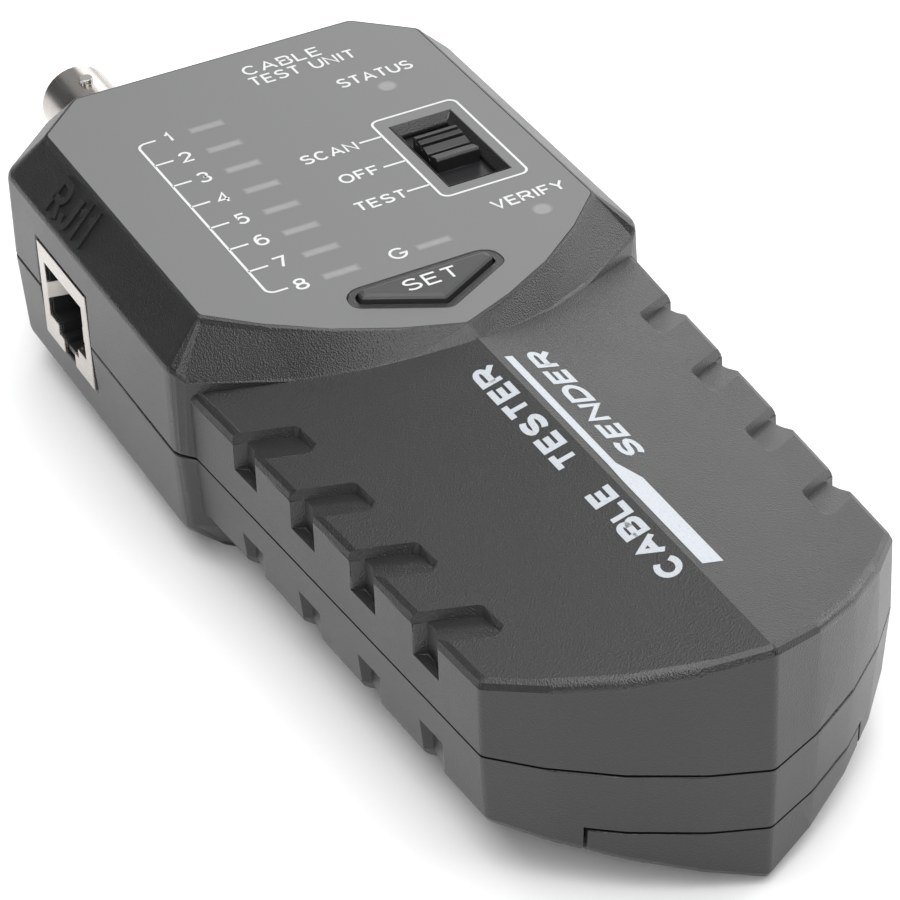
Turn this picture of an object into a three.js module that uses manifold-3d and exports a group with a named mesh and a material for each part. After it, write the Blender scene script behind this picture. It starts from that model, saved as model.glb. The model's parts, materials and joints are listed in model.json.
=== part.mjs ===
// Hand-held cable tester sender: a two-half moulded case with a V-shaped control face,
// a slide switch, a set button, nine indicator bars, a modular jack and a bayonet jack,
// a sliding battery door and the board, battery and fixings inside.
// Millimetres, +Z up, face up, head and bayonet jack towards +Y.
import * as THREE from 'three';
import { mergeVertices } from 'three/addons/utils/BufferGeometryUtils.js';
import Module from 'manifold-3d';

const wasm = await Module();
wasm.setup();

// ---------------------------------------------------------------- case sizes
const SEAM = 17.1;            // parting plane height
const HALF_HEIGHT = 17.1;     // parting plane to either flat face
const SEAM_GAP = 0.3;         // visible line between the halves
const WALL = 2.2;             // head wall
const GRIP_WALL = 2.9;        // handle side wall, thick behind the finger notches
const LABEL_T = 0.4;          // face plate thickness
const FACE = SEAM + HALF_HEIGHT;
const SEAT = FACE - LABEL_T;  // floor of the face plate recess
const CEILING = SEAT - 2.0;   // inside of the face wall

// control face outline
const LABEL_HALF = 26.4;
const LABEL_TOP = 61.4;
const LABEL_CUT = [19.7, 54.9];  // corner cut: x on the top edge, y on the side edge
const SHOULDER_Y = 7.4;
const LABEL_APEX_Y = -10.1;
const V_BULGE = 2.1;             // outward bow of the V edges
const BEVEL = 5.6;               // head side face beyond the label edge

// handle outline
const NECK = [30.6, 12.0];
const TAIL_CORNER = [25.85, -61.5];
const TAIL_APEX_Y = -78.9;
const TAIL_BULGE = 2.2;
const RIDGE = 16.4;              // ridge height above the parting plane
const ROOF_SLOPE = 0.245;        // fall of the roof away from the ridge

// foot of the V step on the handle roof, from the middle outwards
const STEP_FOOT = [[0, -13.4], [6.4, -10.7], [12.9, -7.7], [19.6, -3.4]];

// finger notches: where each starts on the side edge, shared plan shape
const NOTCH_Y = [-6.6, -20.2, -33.8, -47.4];
const NOTCH_LENGTH = 6.0;        // along the handle
const NOTCH_SLANT = 0.668;       // end walls run parallel to the V step
const NOTCH_REACH = 6.75;        // inwards from the side edge
const NOTCH_FLOOR = 4.6;         // side recess starts this far above the parting plane
const NOTCH_DEPTH = 1.2;

// controls
const SWITCH = { x: 16.3, y: 25.85, outer: [8.6, 16.4], inner: [6.6, 14.2] };
const BUTTON = { half: 10.2, top: 3.1, side: -0.85, apex: -6.6 };
const BAR = { x: -8.03, y: 46.25, pitch: 5.6, size: [5.0, 1.8] };
const GROUND_BAR = [4.45, 7.05];
const STATUS = [16.35, 43.45];
const VERIFY = [19.35, 7.05];

// board, jacks, battery
const BOARD_Z = 24.5;
const BOARD_T = 1.6;
const JACK = { x: -31.95, depth: 16, y: 39.85, w: 15.8, z: 17.3, h: 14.0 };
const BNC = { x: -13.6, z: 23.7, r: 4.95, rim: 79.0, lug: 74.0, wallOut: 66.9, wallIn: 64.6 };
const BATTERY = { half: 13.1, y0: -67.5, y1: -21.1, z0: 6.4, z1: 23.6 };
const DOOR = { lipHalf: 17.2, lipTop: 8.5, half: 15.6, tongue: 17.0, t: 2.2, y1: -14.6 };
const CASE_SCREWS = [[22.5, 53], [-22.5, 53], [21, -57], [-21, -57]];
const BOARD_SCREWS = [[23, 41], [-23, 25], [23, 12], [-22, 8.5]];

// ---------------------------------------------------------------- materials
const M = {
  casing: { color: 0x2b2c2e, roughness: 0.55, metalness: 0 },
  label: { color: 0x868b89, roughness: 0.5, metalness: 0 },
  button: { color: 0x4a4b4c, roughness: 0.5, metalness: 0 },
  black: { color: 0x18191a, roughness: 0.45, metalness: 0 },
  nickel: { color: 0xcfc8bf, roughness: 0.25, metalness: 1 },
  steel: { color: 0x9a9b9c, roughness: 0.3, metalness: 1 },
  gold: { color: 0xd8ae55, roughness: 0.25, metalness: 1 },
  ptfe: { color: 0xeeece6, roughness: 0.4, metalness: 0 },
  board: { color: 0x1d5a34, roughness: 0.45, metalness: 0 },
  lens: { color: 0xb9b4ac, roughness: 0.3, metalness: 0 },
  battery: { color: 0x3a3d44, roughness: 0.35, metalness: 0 },
  red: { color: 0xa32020, roughness: 0.5, metalness: 0 },
};

// ---------------------------------------------------------------- solid helpers
function toSolid(geometry) {
  const bare = geometry.index ? geometry.clone() : geometry;
  bare.deleteAttribute('normal');
  bare.deleteAttribute('uv');
  const merged = mergeVertices(bare, 1e-4);
  const idx = merged.index.array;
  const keep = [];
  for (let i = 0; i < idx.length; i += 3) {
    const [a, b, c] = [idx[i], idx[i + 1], idx[i + 2]];
    if (a !== b && b !== c && a !== c) keep.push(a, b, c);
  }
  return new wasm.Manifold(new wasm.Mesh({
    numProp: 3,
    vertProperties: new Float32Array(merged.attributes.position.array),
    triVerts: new Uint32Array(keep),
  }));
}

function toGeometry(body) {
  const mesh = body.getMesh();
  const g = new THREE.BufferGeometry();
  g.setAttribute('position', new THREE.BufferAttribute(new Float32Array(mesh.vertProperties), 3));
  g.setIndex(new THREE.BufferAttribute(new Uint32Array(mesh.triVerts), 1));
  g.computeVertexNormals();
  return g;
}

const join = (...parts) => parts.flat().reduce((a, b) => a.add(b));
const cut = (body, ...tools) => tools.flat().reduce((a, b) => a.subtract(b), body);
const mirrorX = (pts) => pts.map(([x, y]) => [-x, y]).reverse();

function shapeOf(pts) {
  return new THREE.Shape(pts.map(([x, y]) => new THREE.Vector2(x, y)));
}

function prism(pts, z0, z1) {
  const g = new THREE.ExtrudeGeometry(shapeOf(pts), { depth: z1 - z0, bevelEnabled: false });
  g.translate(0, 0, z0);
  return toSolid(g);
}

// outline given as [x, z], run along Y
function prismY(pts, y0, y1) {
  const g = new THREE.ExtrudeGeometry(shapeOf(pts), { depth: y1 - y0, bevelEnabled: false });
  g.rotateX(Math.PI / 2);
  g.translate(0, y1, 0);
  return toSolid(g);
}

// outline given as [y, z], run along X
function prismX(pts, x0, x1) {
  const g = new THREE.ExtrudeGeometry(shapeOf(pts), { depth: x1 - x0, bevelEnabled: false });
  g.applyMatrix4(new THREE.Matrix4().makeBasis(
    new THREE.Vector3(0, 1, 0),
    new THREE.Vector3(0, 0, 1),
    new THREE.Vector3(1, 0, 0),
  ));
  g.translate(x0, 0, 0);
  return toSolid(g);
}

const rect = (x0, y0, x1, y1) => [[x0, y0], [x1, y0], [x1, y1], [x0, y1]];
const box = (x0, y0, z0, x1, y1, z1) => prism(rect(x0, y0, x1, y1), z0, z1);

// turned body about +Z: profile is [radius, height] from the axis back to the axis
function turnZ(profile, x, y, segments = 20) {
  const g = new THREE.LatheGeometry(profile.map(([r, h]) => new THREE.Vector2(r, h)), segments);
  g.rotateX(Math.PI / 2);
  g.translate(x, y, 0);
  return toSolid(g);
}

function turnY(profile, x, z, segments = 32) {
  const g = new THREE.LatheGeometry(profile.map(([r, h]) => new THREE.Vector2(r, h)), segments);
  g.translate(x, 0, z);
  return toSolid(g);
}

const rod = (x, y, r, z0, z1, n = 20) => turnZ([[0, z0], [r, z0], [r, z1], [0, z1]], x, y, n);

// outward offset of a convex outline, one distance per edge or one for all
function offset(pts, d) {
  const n = pts.length;
  const dist = (i) => (Array.isArray(d) ? d[i] : d);
  const lines = pts.map(([x, y], i) => {
    const [u, v] = pts[(i + 1) % n];
    const len = Math.hypot(u - x, v - y);
    const nx = (v - y) / len;
    const ny = -(u - x) / len;
    return { nx, ny, c: nx * x + ny * y + dist(i) };
  });
  return pts.map((_, i) => {
    const a = lines[(i + n - 1) % n];
    const b = lines[i];
    const det = a.nx * b.ny - a.ny * b.nx;
    return [(a.c * b.ny - b.c * a.ny) / det, (a.nx * b.c - b.nx * a.c) / det];
  });
}

// corners with a radius become arcs of (steps + 1) points
function rounded(pts, radii, steps = 4) {
  const n = pts.length;
  const out = [];
  pts.forEach((p, i) => {
    const r = radii[i];
    if (!r) {
      out.push(p);
      return;
    }
    const toward = ([ax, ay]) => {
      const len = Math.hypot(ax - p[0], ay - p[1]);
      return [(ax - p[0]) / len, (ay - p[1]) / len];
    };
    const a = toward(pts[(i + n - 1) % n]);
    const b = toward(pts[(i + 1) % n]);
    const half = Math.acos(Math.max(-1, Math.min(1, a[0] * b[0] + a[1] * b[1]))) / 2;
    const reach = r / Math.tan(half);
    const mid = [a[0] + b[0], a[1] + b[1]];
    const ml = Math.hypot(mid[0], mid[1]);
    const far = r / Math.sin(half);
    const c = [p[0] + (mid[0] / ml) * far, p[1] + (mid[1] / ml) * far];
    const s = Math.atan2(p[1] + a[1] * reach - c[1], p[0] + a[0] * reach - c[0]);
    let e = Math.atan2(p[1] + b[1] * reach - c[1], p[0] + b[0] * reach - c[0]);
    if (e < s) e += 2 * Math.PI;
    for (let k = 0; k <= steps; k += 1) {
      const t = s + ((e - s) * k) / steps;
      out.push([c[0] + r * Math.cos(t), c[1] + r * Math.sin(t)]);
    }
  });
  return out;
}

// bowed run of points strictly between two ends, bulging to the right of travel
function bowed(from, to, bulge, count) {
  const dx = to[0] - from[0];
  const dy = to[1] - from[1];
  const len = Math.hypot(dx, dy);
  return Array.from({ length: count }, (_, k) => {
    const t = (k + 1) / (count + 1);
    const b = 4 * bulge * t * (1 - t);
    return [from[0] + dx * t + (dy / len) * b, from[1] + dy * t - (dx / len) * b];
  });
}

// skin through rings of equal point count, each point [x, y, z], lowest ring first
function loft(rings, splitCap = false) {
  const n = rings[0].length;
  const pos = rings.flat(2);
  const idx = [];
  for (let r = 0; r + 1 < rings.length; r += 1) {
    for (let i = 0; i < n; i += 1) {
      const j = (i + 1) % n;
      const [a, b, c, d] = [r * n + i, r * n + j, (r + 1) * n + j, (r + 1) * n + i];
      idx.push(a, b, c, a, c, d);
    }
  }
  const cap = (ring, base, up, members) => {
    const contour = members.map((i) => new THREE.Vector2(ring[i][0], ring[i][1]));
    THREE.ShapeUtils.triangulateShape(contour, []).forEach(([a, b, c]) => {
      const t = [base + members[a], base + members[b], base + members[c]];
      idx.push(...(up ? t : t.reverse()));
    });
  };
  const all = Array.from({ length: n }, (_, i) => i);
  const last = (rings.length - 1) * n;
  const top = rings[rings.length - 1];
  cap(rings[0], 0, false, all);
  if (splitCap) {
    const onRidge = all.filter((i) => Math.abs(top[i][0]) < 1e-6);
    const [p, q] = onRidge;
    cap(top, last, true, all.filter((i) => i >= p && i <= q));
    cap(top, last, true, all.filter((i) => i >= q || i <= p));
  } else {
    cap(top, last, true, all);
  }
  const g = new THREE.BufferGeometry();
  g.setAttribute('position', new THREE.BufferAttribute(new Float32Array(pos), 3));
  g.setIndex(idx);
  return toSolid(g);
}

// ---------------------------------------------------------------- case outlines
const rightRun = bowed([0, LABEL_APEX_Y], [LABEL_HALF, SHOULDER_Y], V_BULGE, 3);
const leftRun = mirrorX(rightRun);
const FACE_CORE = [
  [LABEL_HALF, SHOULDER_Y],
  [LABEL_HALF, LABEL_CUT[1]],
  [LABEL_CUT[0], LABEL_TOP],
  [-LABEL_CUT[0], LABEL_TOP],
  [-LABEL_HALF, LABEL_CUT[1]],
  [-LABEL_HALF, SHOULDER_Y],
  ...leftRun,
  [0, LABEL_APEX_Y],
  ...rightRun,
];

function faceOutline(d, r = Math.max(0.8, 1.0 + 0.42 * d)) {
  const radii = FACE_CORE.map((_, i) => (i < 6 || i === 9 ? r : 0));
  return rounded(offset(FACE_CORE, d), radii, 3);
}

const tailRight = bowed([0, TAIL_APEX_Y], TAIL_CORNER, TAIL_BULGE, 3);
const tailLeft = mirrorX(tailRight);
const HANDLE_CORE = [
  TAIL_CORNER,
  NECK,
  [0, NECK[1] + 0.01],
  [-NECK[0], NECK[1]],
  [-TAIL_CORNER[0], TAIL_CORNER[1]],
  ...tailLeft,
  [0, TAIL_APEX_Y],
  ...tailRight,
];

// side and tail walls can be moved by different amounts
function handleOutline(side, tail = side, r = 1.3) {
  const d = HANDLE_CORE.map((_, i) => (i === 0 || i === 3 ? side : i === 1 || i === 2 ? 0 : tail));
  const radii = HANDLE_CORE.map((_, i) => (i === 0 || i === 4 || i === 8 ? r : 0));
  return rounded(offset(HANDLE_CORE, d), radii, 4).map(([x, y]) => [Math.abs(x) < 1e-6 ? 0 : x, y]);
}

const roof = (x) => RIDGE - ROOF_SLOPE * Math.abs(x);

// heights here are above the parting plane; the lower half is the same body upside down
function headBody(levels) {
  return loft(levels.map(([u, d, r]) => faceOutline(d, r).map(([x, y]) => [x, y, u])));
}

const mix = (a, b, t) => a + (b - a) * t;
const FOOT_RUN = [
  ...mirrorX(STEP_FOOT.slice(1)),
  STEP_FOOT[0],
  ...STEP_FOOT.slice(1),
];

// ring round the head: level with the sides at u, but between foot and face along the V
function stepRing(u, d, climb, rise = climb) {
  const outer = offset(FACE_CORE, d);
  const brim = offset(FACE_CORE, 0.12);
  const pts = outer.map((p, i) => (
    i < 6 ? p : FOOT_RUN[i - 6].map((v, k) => mix(v, brim[i][k], climb))));
  const r = Math.max(0.8, 1.0 + 0.42 * d);
  const radii = pts.map((_, i) => (i < 6 || i === 9 ? r : 0));
  return rounded(pts, radii, 3).map(([x, y]) => {
    const shoulder = LABEL_HALF + 0.4 * d;
    const side = y > SHOULDER_Y ? 1 : Math.min(1, Math.max(0, (Math.abs(x) - shoulder) / (0.5 * d)));
    return [x, y, mix(mix(roof(x) - 0.05, HALF_HEIGHT, rise), u, side)];
  });
}

function handleBody(levels) {
  return loft(levels.map(([side, tail, drop, flat]) => handleOutline(side, tail)
    .map(([x, y]) => [x, y, flat === undefined ? roof(x) - drop : flat])), true);
}

function halfOuter(draft) {
  const d = draft;
  const head = loft([
    faceOutline(BEVEL).map(([x, y]) => [x, y, SEAM_GAP / 2]),
    stepRing(11.5, BEVEL - 0.15 - d, 0),
    stepRing(12.1, BEVEL - 0.4 - d, 0.1, 0.06),
    stepRing(16.55, 0.75 - d, 0.84, 0.88),
    stepRing(16.95, 0.42 - d, 0.92, 0.97),
    stepRing(HALF_HEIGHT, 0.12 - d, 1),
  ]);
  const grip = handleBody([
    [0.1, 0.1, 0, SEAM_GAP / 2],
    [-d, -d * 1.4, 0.9],
    [-0.35 - d, -0.35 - d * 1.4, 0.25],
    [-0.95 - d, -0.95 - d * 1.4, 0],
  ]);
  return join(head, grip);
}

function halfCavity(ceilingU) {
  const s = ceilingU;
  const head = headBody([
    [-1, BEVEL - WALL, 2.2],
    [10.6, BEVEL - WALL, 2.2],
    [s, BEVEL - WALL - (s - 10.6), 1.0],
  ]);
  const t = GRIP_WALL;
  const grip = handleBody([
    [-t, -WALL, 0, -1],
    [-t, -WALL, t * 1.03],
  ]);
  return join(head, grip);
}

// everything inside the outer wall line by the given distance, between two heights
function inside(d, z0, z1) {
  return join(
    prism(faceOutline(BEVEL - d, 3), z0, z1),
    prism(handleOutline(-d), z0, z1),
  );
}

function notchTools(side) {
  const edgeAt = (y) => TAIL_CORNER[0]
    + ((NECK[0] - TAIL_CORNER[0]) * (y - TAIL_CORNER[1])) / (NECK[1] - TAIL_CORNER[1]);
  const flip = (pts) => (side > 0 ? pts : mirrorX(pts));
  return NOTCH_Y.flatMap((y0) => {
    const e = edgeAt(y0);
    const at = (dx, dy) => [e + dx, y0 + dy + NOTCH_SLANT * dx];
    // pocket in the roof, its floor deepest at the head end and running out at the tail end
    const ramp = ([x, y]) => {
      const along = y - y0 - NOTCH_SLANT * (Math.abs(x) - e);
      return roof(x) - NOTCH_DEPTH * Math.min(1, Math.max(0.03, 1 + (along - 0.1) / (NOTCH_LENGTH - 0.75)));
    };
    const outline = (reach, head, tail) => flip(rounded(
      [at(3.6, tail), at(3.6, head), at(-reach, head), at(-reach, tail)],
      [0, 0, 1.2, 0.8],
      3,
    ));
    const floor = outline(NOTCH_REACH - 0.4, -0.1, 0.5 - NOTCH_LENGTH);
    const brim = outline(NOTCH_REACH, 0.45, 0.45 - NOTCH_LENGTH);
    const pocket = loft([
      floor.map((p) => [...p, ramp(p)]),
      brim.map(([x, y]) => [x, y, roof(x)]),
      brim.map(([x, y]) => [x, y, roof(x) + 4]),
    ]);
    // recess down the side wall, deep at the head end and running out towards the tail
    const recess = flip([
      [e + 2.0, y0 - 5.0], [e + 2.0, y0 + 0.7], [e - 1.48, y0 - 1.05], [e - 1.5, y0 - 2.4],
      [e - 1.27, y0 - 3.75], [e - 0.66, y0 - 5.1], [edgeAt(y0 - 5.7) + 0.02, y0 - 5.7],
    ]);
    return [pocket, prism(recess, NOTCH_FLOOR, 20)];
  });
}

const toLower = (body) => body.mirror([0, 0, 1]).translate([0, 0, SEAM]);
const toUpper = (body) => body.translate([0, 0, SEAM]);

const NOTCHES = [...notchTools(1), ...notchTools(-1)];
const outerTop = cut(halfOuter(0), NOTCHES);
const outerBottom = cut(halfOuter(0.45), NOTCHES);
const jackHole = box(
  -45, JACK.y - JACK.w / 2 - 0.25, JACK.z - JACK.h / 2 - 0.25,
  JACK.x + JACK.depth + 1, JACK.y + JACK.w / 2 + 0.25, JACK.z + JACK.h / 2 + 0.25,
);

// ---------------------------------------------------------------- buttons and windows
const BUTTON_CORE = [
  [BUTTON.half, BUTTON.side],
  [BUTTON.half, BUTTON.top],
  [-BUTTON.half, BUTTON.top],
  [-BUTTON.half, BUTTON.side],
  [0, BUTTON.apex],
];
function buttonOutline(d) {
  const radii = [1.6, 2.4, 2.4, 1.6, 1.6].map((r) => Math.max(0.25, r + d));
  return rounded(offset(BUTTON_CORE, d), radii, 4);
}

function windowTool() {
  const { x, y, outer, inner } = SWITCH;
  const ring = (w, h, z) => rect(x - w / 2, y - h / 2, x + w / 2, y + h / 2).map((p) => [...p, z]);
  const through = box(
    x - inner[0] / 2, y - inner[1] / 2, CEILING - 1,
    x + inner[0] / 2, y + inner[1] / 2, FACE + 1,
  );
  const mouth = loft([
    ring(inner[0], inner[1], FACE - 1.0),
    ring(outer[0], outer[1], FACE + 0.02),
    ring(outer[0], outer[1], FACE + 1),
  ]);
  const shutterRoom = box(x - 5.2, y - 14.6, CEILING - 1, x + 5.2, y + 14.6, CEILING + 0.9);
  return [through, mouth, shutterRoom];
}

// ---------------------------------------------------------------- case parts
function topShell() {
  let body = toUpper(cut(outerTop, halfCavity(CEILING - SEAM)));
  const bosses = CASE_SCREWS.map(([x, y]) => rod(x, y, 3.1, SEAM + 0.15, CEILING + 0.2));
  const boardPosts = BOARD_SCREWS.map(([x, y]) => (
    rod(x, y, 2.4, BOARD_Z + BOARD_T + 0.1, CEILING + 0.2, 16)));
  const room = toUpper(outerTop);
  body = join(body, [...bosses, ...boardPosts].map((b) => b.intersect(room)));
  body = cut(body, CASE_SCREWS.map(([x, y]) => rod(x, y, 1.15, SEAM - 1, 27.2, 12)));
  body = cut(body, BOARD_SCREWS.map(([x, y]) => rod(x, y, 0.8, BOARD_Z, 31.0, 10)));
  const rabbet = cut(inside(1.05, SEAM - 1, SEAM + 2.0), insideLip(0.25));
  body = cut(body, rabbet, jackHole);
  // face plate recess, leaving the raised ring round the button and the switch frame
  const keep = [
    prism(buttonOutline(-0.12), SEAT - 1, FACE - 0.08),
    box(
      SWITCH.x - SWITCH.outer[0] / 2 - 0.01, SWITCH.y - SWITCH.outer[1] / 2 - 0.01, SEAT - 1,
      SWITCH.x + SWITCH.outer[0] / 2 + 0.01, SWITCH.y + SWITCH.outer[1] / 2 + 0.01, FACE,
    ),
  ];
  body = cut(body, cut(prism(faceOutline(0.08, 1.05), SEAT, FACE + 1), keep));
  body = cut(body, prism(buttonOutline(-1.05), CEILING - 2, FACE + 1), windowTool());
  const slot = ([x, y]) => box(
    x - BAR.size[0] / 2 - 0.15, y - BAR.size[1] / 2 - 0.15, CEILING - 1,
    x + BAR.size[0] / 2 + 0.15, y + BAR.size[1] / 2 + 0.15, FACE,
  );
  body = cut(body, barCentres().map(slot), slot(GROUND_BAR));
  body = cut(body, [STATUS, VERIFY].map(([x, y]) => rod(x, y, 1.65, CEILING - 1, FACE, 16)));
  const bncHole = turnY([[0, 60], [4.95, 60], [4.95, 72], [0, 72]], BNC.x, BNC.z, 32);
  return cut(body, bncHole);
}

function insideLip(extra) {
  const d = WALL + extra;
  return join(
    prism(faceOutline(BEVEL - d, 2.2), SEAM - 2, SEAM + 3),
    prism(handleOutline(-GRIP_WALL - extra, -WALL - extra), SEAM - 2, SEAM + 3),
  );
}

const under = (x) => SEAM - roof(x);  // outer underside of the handle

// strip of the underside between two half widths, from one depth to another, both sides
function skinStrip(halfWidth, low, high, y0, y1) {
  const w = halfWidth;
  return prismY([
    [-w, under(w) + low], [0, under(0) + low], [w, under(w) + low],
    [w, under(w) + high], [0, under(0) + high], [-w, under(w) + high],
  ], y0, y1);
}

function batteryBox() {
  const z1 = BATTERY.z1 + 0.4;
  const y0 = BATTERY.y0 - 0.6;
  const y1 = DOOR.y1 + 0.6;
  const outer = join(
    box(-15.2, y0 - 1.2, 3, 15.2, y1 + 1.2, z1 + 1.0),
    box(-18.5, y0 - 1.2, 3, 18.5, y1 + 1.2, 9.0),
  );
  const above = prism(handleOutline(-GRIP_WALL - 0.3, -WALL - 0.3), SEAM - 2, 40);
  const below = toLower(outerBottom).add(box(-40, -90, SEAM - 0.5, 40, 90, SEAM - 0.05));
  const clipped = join(outer.intersect(above), outer.intersect(below));
  const wireSlot = box(-4, y1 - 1, 18.5, 4, y1 + 3, z1 + 3);
  return cut(clipped, wireSlot);
}

function doorOpening() {
  const y0 = BATTERY.y0 - 0.6;
  const y1 = DOOR.y1 + 0.6;
  const bay = box(-14, y0, -1, 14, y1, BATTERY.z1 + 0.4);
  const mouth = skinStrip(DOOR.half + 0.3, -3, 3, -90, DOOR.y1 + 0.3);
  const channel = cut(
    box(-17.3, -90, -2, 17.3, DOOR.y1 + 0.3, 7.6),
    skinStrip(19, -6, 0.95, -95, 0),
  );
  const lip = cut(
    box(-DOOR.lipHalf - 0.3, -90, -2, DOOR.lipHalf + 0.3, -58, DOOR.lipTop + 0.3),
    prism(handleOutline(-GRIP_WALL, -WALL), -5, 40),
  );
  return [bay, mouth, channel, lip];
}

function bottomShell() {
  let body = toLower(cut(outerBottom, halfCavity(HALF_HEIGHT - 2.0)));
  const room = toLower(outerBottom);
  body = join(body, CASE_SCREWS.map(([x, y]) => rod(x, y, 3.7, 0, SEAM - 0.15).intersect(room)));
  const lip = cut(inside(1.3, SEAM - 1.2, SEAM + 1.7), insideLip(0));
  body = join(body, lip, batteryBox());
  body = cut(body, doorOpening(), jackHole);
  const seatZ = (y) => (y > 0 ? 5.5 : 9.5);
  body = cut(body, CASE_SCREWS.map(([x, y]) => rod(x, y, 2.95, -2, seatZ(y))));
  return cut(body, CASE_SCREWS.map(([x, y]) => rod(x, y, 1.6, 0, SEAM + 4, 12)));
}

function batteryDoor() {
  const outer = toLower(outerBottom);
  const plate = join(
    skinStrip(DOOR.half, -3, DOOR.t, -90, DOOR.y1),
    skinStrip(DOOR.tongue, 1.2, DOOR.t, -90, DOOR.y1),
  ).intersect(prism(handleOutline(-1.2), -5, 40));
  const lip = cut(
    box(-DOOR.lipHalf, -90, -2, DOOR.lipHalf, -58, DOOR.lipTop),
    prism(handleOutline(-GRIP_WALL, -WALL), -5, 40),
  );
  return join(plate, lip).intersect(outer);
}

function facePlate() {
  const { x, y, outer } = SWITCH;
  const body = prism(faceOutline(0, 1.0), SEAT, FACE);
  return cut(
    body,
    prism(buttonOutline(0), SEAT - 1, FACE + 1),
    box(
      x - outer[0] / 2 - 0.12, y - outer[1] / 2 - 0.12, SEAT - 1,
      x + outer[0] / 2 + 0.12, y + outer[1] / 2 + 0.12, FACE + 1,
    ),
  );
}

// ---------------------------------------------------------------- controls
function setButton() {
  const ring = (d, z) => buttonOutline(d).map((p) => [...p, z]);
  const cap = loft([
    ring(-1.45, CEILING - 1.2), ring(-1.45, FACE + 0.35), ring(-1.65, FACE + 0.62), ring(-2.1, FACE + 0.75),
  ]);
  const flange = prism(buttonOutline(-0.2), CEILING - 1.2, CEILING - 0.25);
  return join(cap, flange);
}

function switchKnob() {
  const { x, y } = SWITCH;
  const shutter = box(x - 4.4, y - 10.25, CEILING + 0.15, x + 4.4, y + 11.35, CEILING + 0.7);
  const grip = prismX([
    [y - 2.5, CEILING + 0.6], [y + 4.2, CEILING + 0.6],
    [y + 4.2, 34.15], [y + 4.05, 34.5], [y + 3.5, 34.5], [y + 3.35, 33.8],
    [y + 3.1, 33.8], [y + 3.0, 34.45], [y + 2.05, 34.4], [y + 1.95, 33.7],
    [y + 1.6, 33.7], [y + 1.5, 34.3], [y + 0.1, 34.0], [y, 33.4],
    [y - 0.45, 33.4], [y - 0.55, 34.1], [y - 2.2, 34.6], [y - 2.5, 34.3],
  ], x - 3.0, x + 3.0);
  const stem = box(x - 1.3, y - 1.1, 28.4, x + 1.3, y + 2.1, CEILING + 0.3);
  return join(shutter, grip, stem);
}

function switchBody() {
  const { x, y } = SWITCH;
  const z0 = BOARD_Z + BOARD_T + 0.1;
  const frame = box(x - 3.6, y - 8.6, z0, x + 3.6, y + 8.6, 31.4);
  const slot = box(x - 1.5, y - 5.3, 28.0, x + 1.5, y + 5.3, 33);
  return cut(frame, slot);
}

function tactBody() {
  const z0 = BOARD_Z + BOARD_T + 0.1;
  return cut(box(-3, -4.2, z0, 3, 1.8, z0 + 3.4), rod(0, -1.2, 1.85, z0 + 2.2, z0 + 5, 20));
}

const tactPlunger = () => rod(0, -1.2, 1.65, BOARD_Z + BOARD_T + 2.9, CEILING - 1.3, 20);

const barCentres = () => Array.from({ length: 8 }, (_, i) => [BAR.x, BAR.y - BAR.pitch * i]);

function barLamp([x, y]) {
  const z0 = BOARD_Z + BOARD_T;
  const [w, h] = BAR.size;
  const lens = box(x - w / 2, y - h / 2, z0 + 1.2, x + w / 2, y + h / 2, SEAT - 0.3);
  const legs = [-1.27, 1.27].map((dx) => (
    box(x + dx - 0.25, y - 0.25, z0 + 0.1, x + dx + 0.25, y + 0.25, z0 + 1.4)));
  return join(lens, legs);
}

function roundLamp([x, y]) {
  const z0 = BOARD_Z + BOARD_T;
  const dome = turnZ([
    [0, z0 + 1.2], [1.9, z0 + 1.2], [1.9, z0 + 2.2], [1.5, z0 + 2.2], [1.5, SEAT - 1.0],
    [1.1, SEAT - 0.45], [0, SEAT - 0.3],
  ], x, y, 20);
  const legs = [-1.27, 1.27].map((dx) => (
    box(x + dx - 0.25, y - 0.25, z0 + 0.1, x + dx + 0.25, y + 0.25, z0 + 1.4)));
  return join(dome, legs);
}

// ---------------------------------------------------------------- board
function circuitBoard() {
  const half = [
    [9, -8], [26.6, 5.5], [26.6, 46], [18.6, 48.6], [18.6, 57],
  ];
  const outline = [...half, [-5, 57], [-5, 55.4], [-18.6, 55.4], [-18.6, 48.6], [-26.6, 46],
    [-26.6, 5.5], [-9, -8]];
  const holes = BOARD_SCREWS.map(([x, y]) => rod(x, y, 1.15, BOARD_Z - 1, BOARD_Z + 4, 12));
  return cut(prism(outline, BOARD_Z, BOARD_Z + BOARD_T), holes);
}

function controllerChip() {
  const z = BOARD_Z;
  const leads = Array.from({ length: 14 }, (_, i) => {
    const x = -8.9 + 1.27 * i - 1.27 * 6.5 + 10.6;
    return box(x - 0.2, 23.5, z - 0.55, x + 0.2, 33.5, z - 0.1);
  });
  return join(box(-7.6, 24.7, z - 2.4, 10.9, 32.3, z - 0.3), leads);
}

// ---------------------------------------------------------------- modular jack
// plug opening outline as [y, z] about the jack centre: body, latch channel, latch tip
function plugOutline(grow) {
  const g = grow;
  const { y, z } = JACK;
  return [
    [y - 1.7 - g, z - 8], [y + 1.7 + g, z - 8], [y + 1.7 + g, z - 4.9 + g], [y + 3.1 + g, z - 4.9 + g],
    [y + 3.1 + g, z - 3.3 - g], [y + 5.9 + g, z - 3.3 - g], [y + 5.9 + g, z + 4.4 + g],
    [y - 5.9 - g, z + 4.4 + g], [y - 5.9 - g, z - 3.3 - g], [y - 3.1 - g, z - 3.3 - g],
    [y - 3.1 - g, z - 4.9 + g], [y - 1.7 - g, z - 4.9 + g],
  ];
}

const contactSlot = () => box(
  JACK.x + 3.0, JACK.y - 4.6, JACK.z + 4.2, JACK.x + 4.2, JACK.y + 4.6, JACK.z + 8,
);

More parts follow.
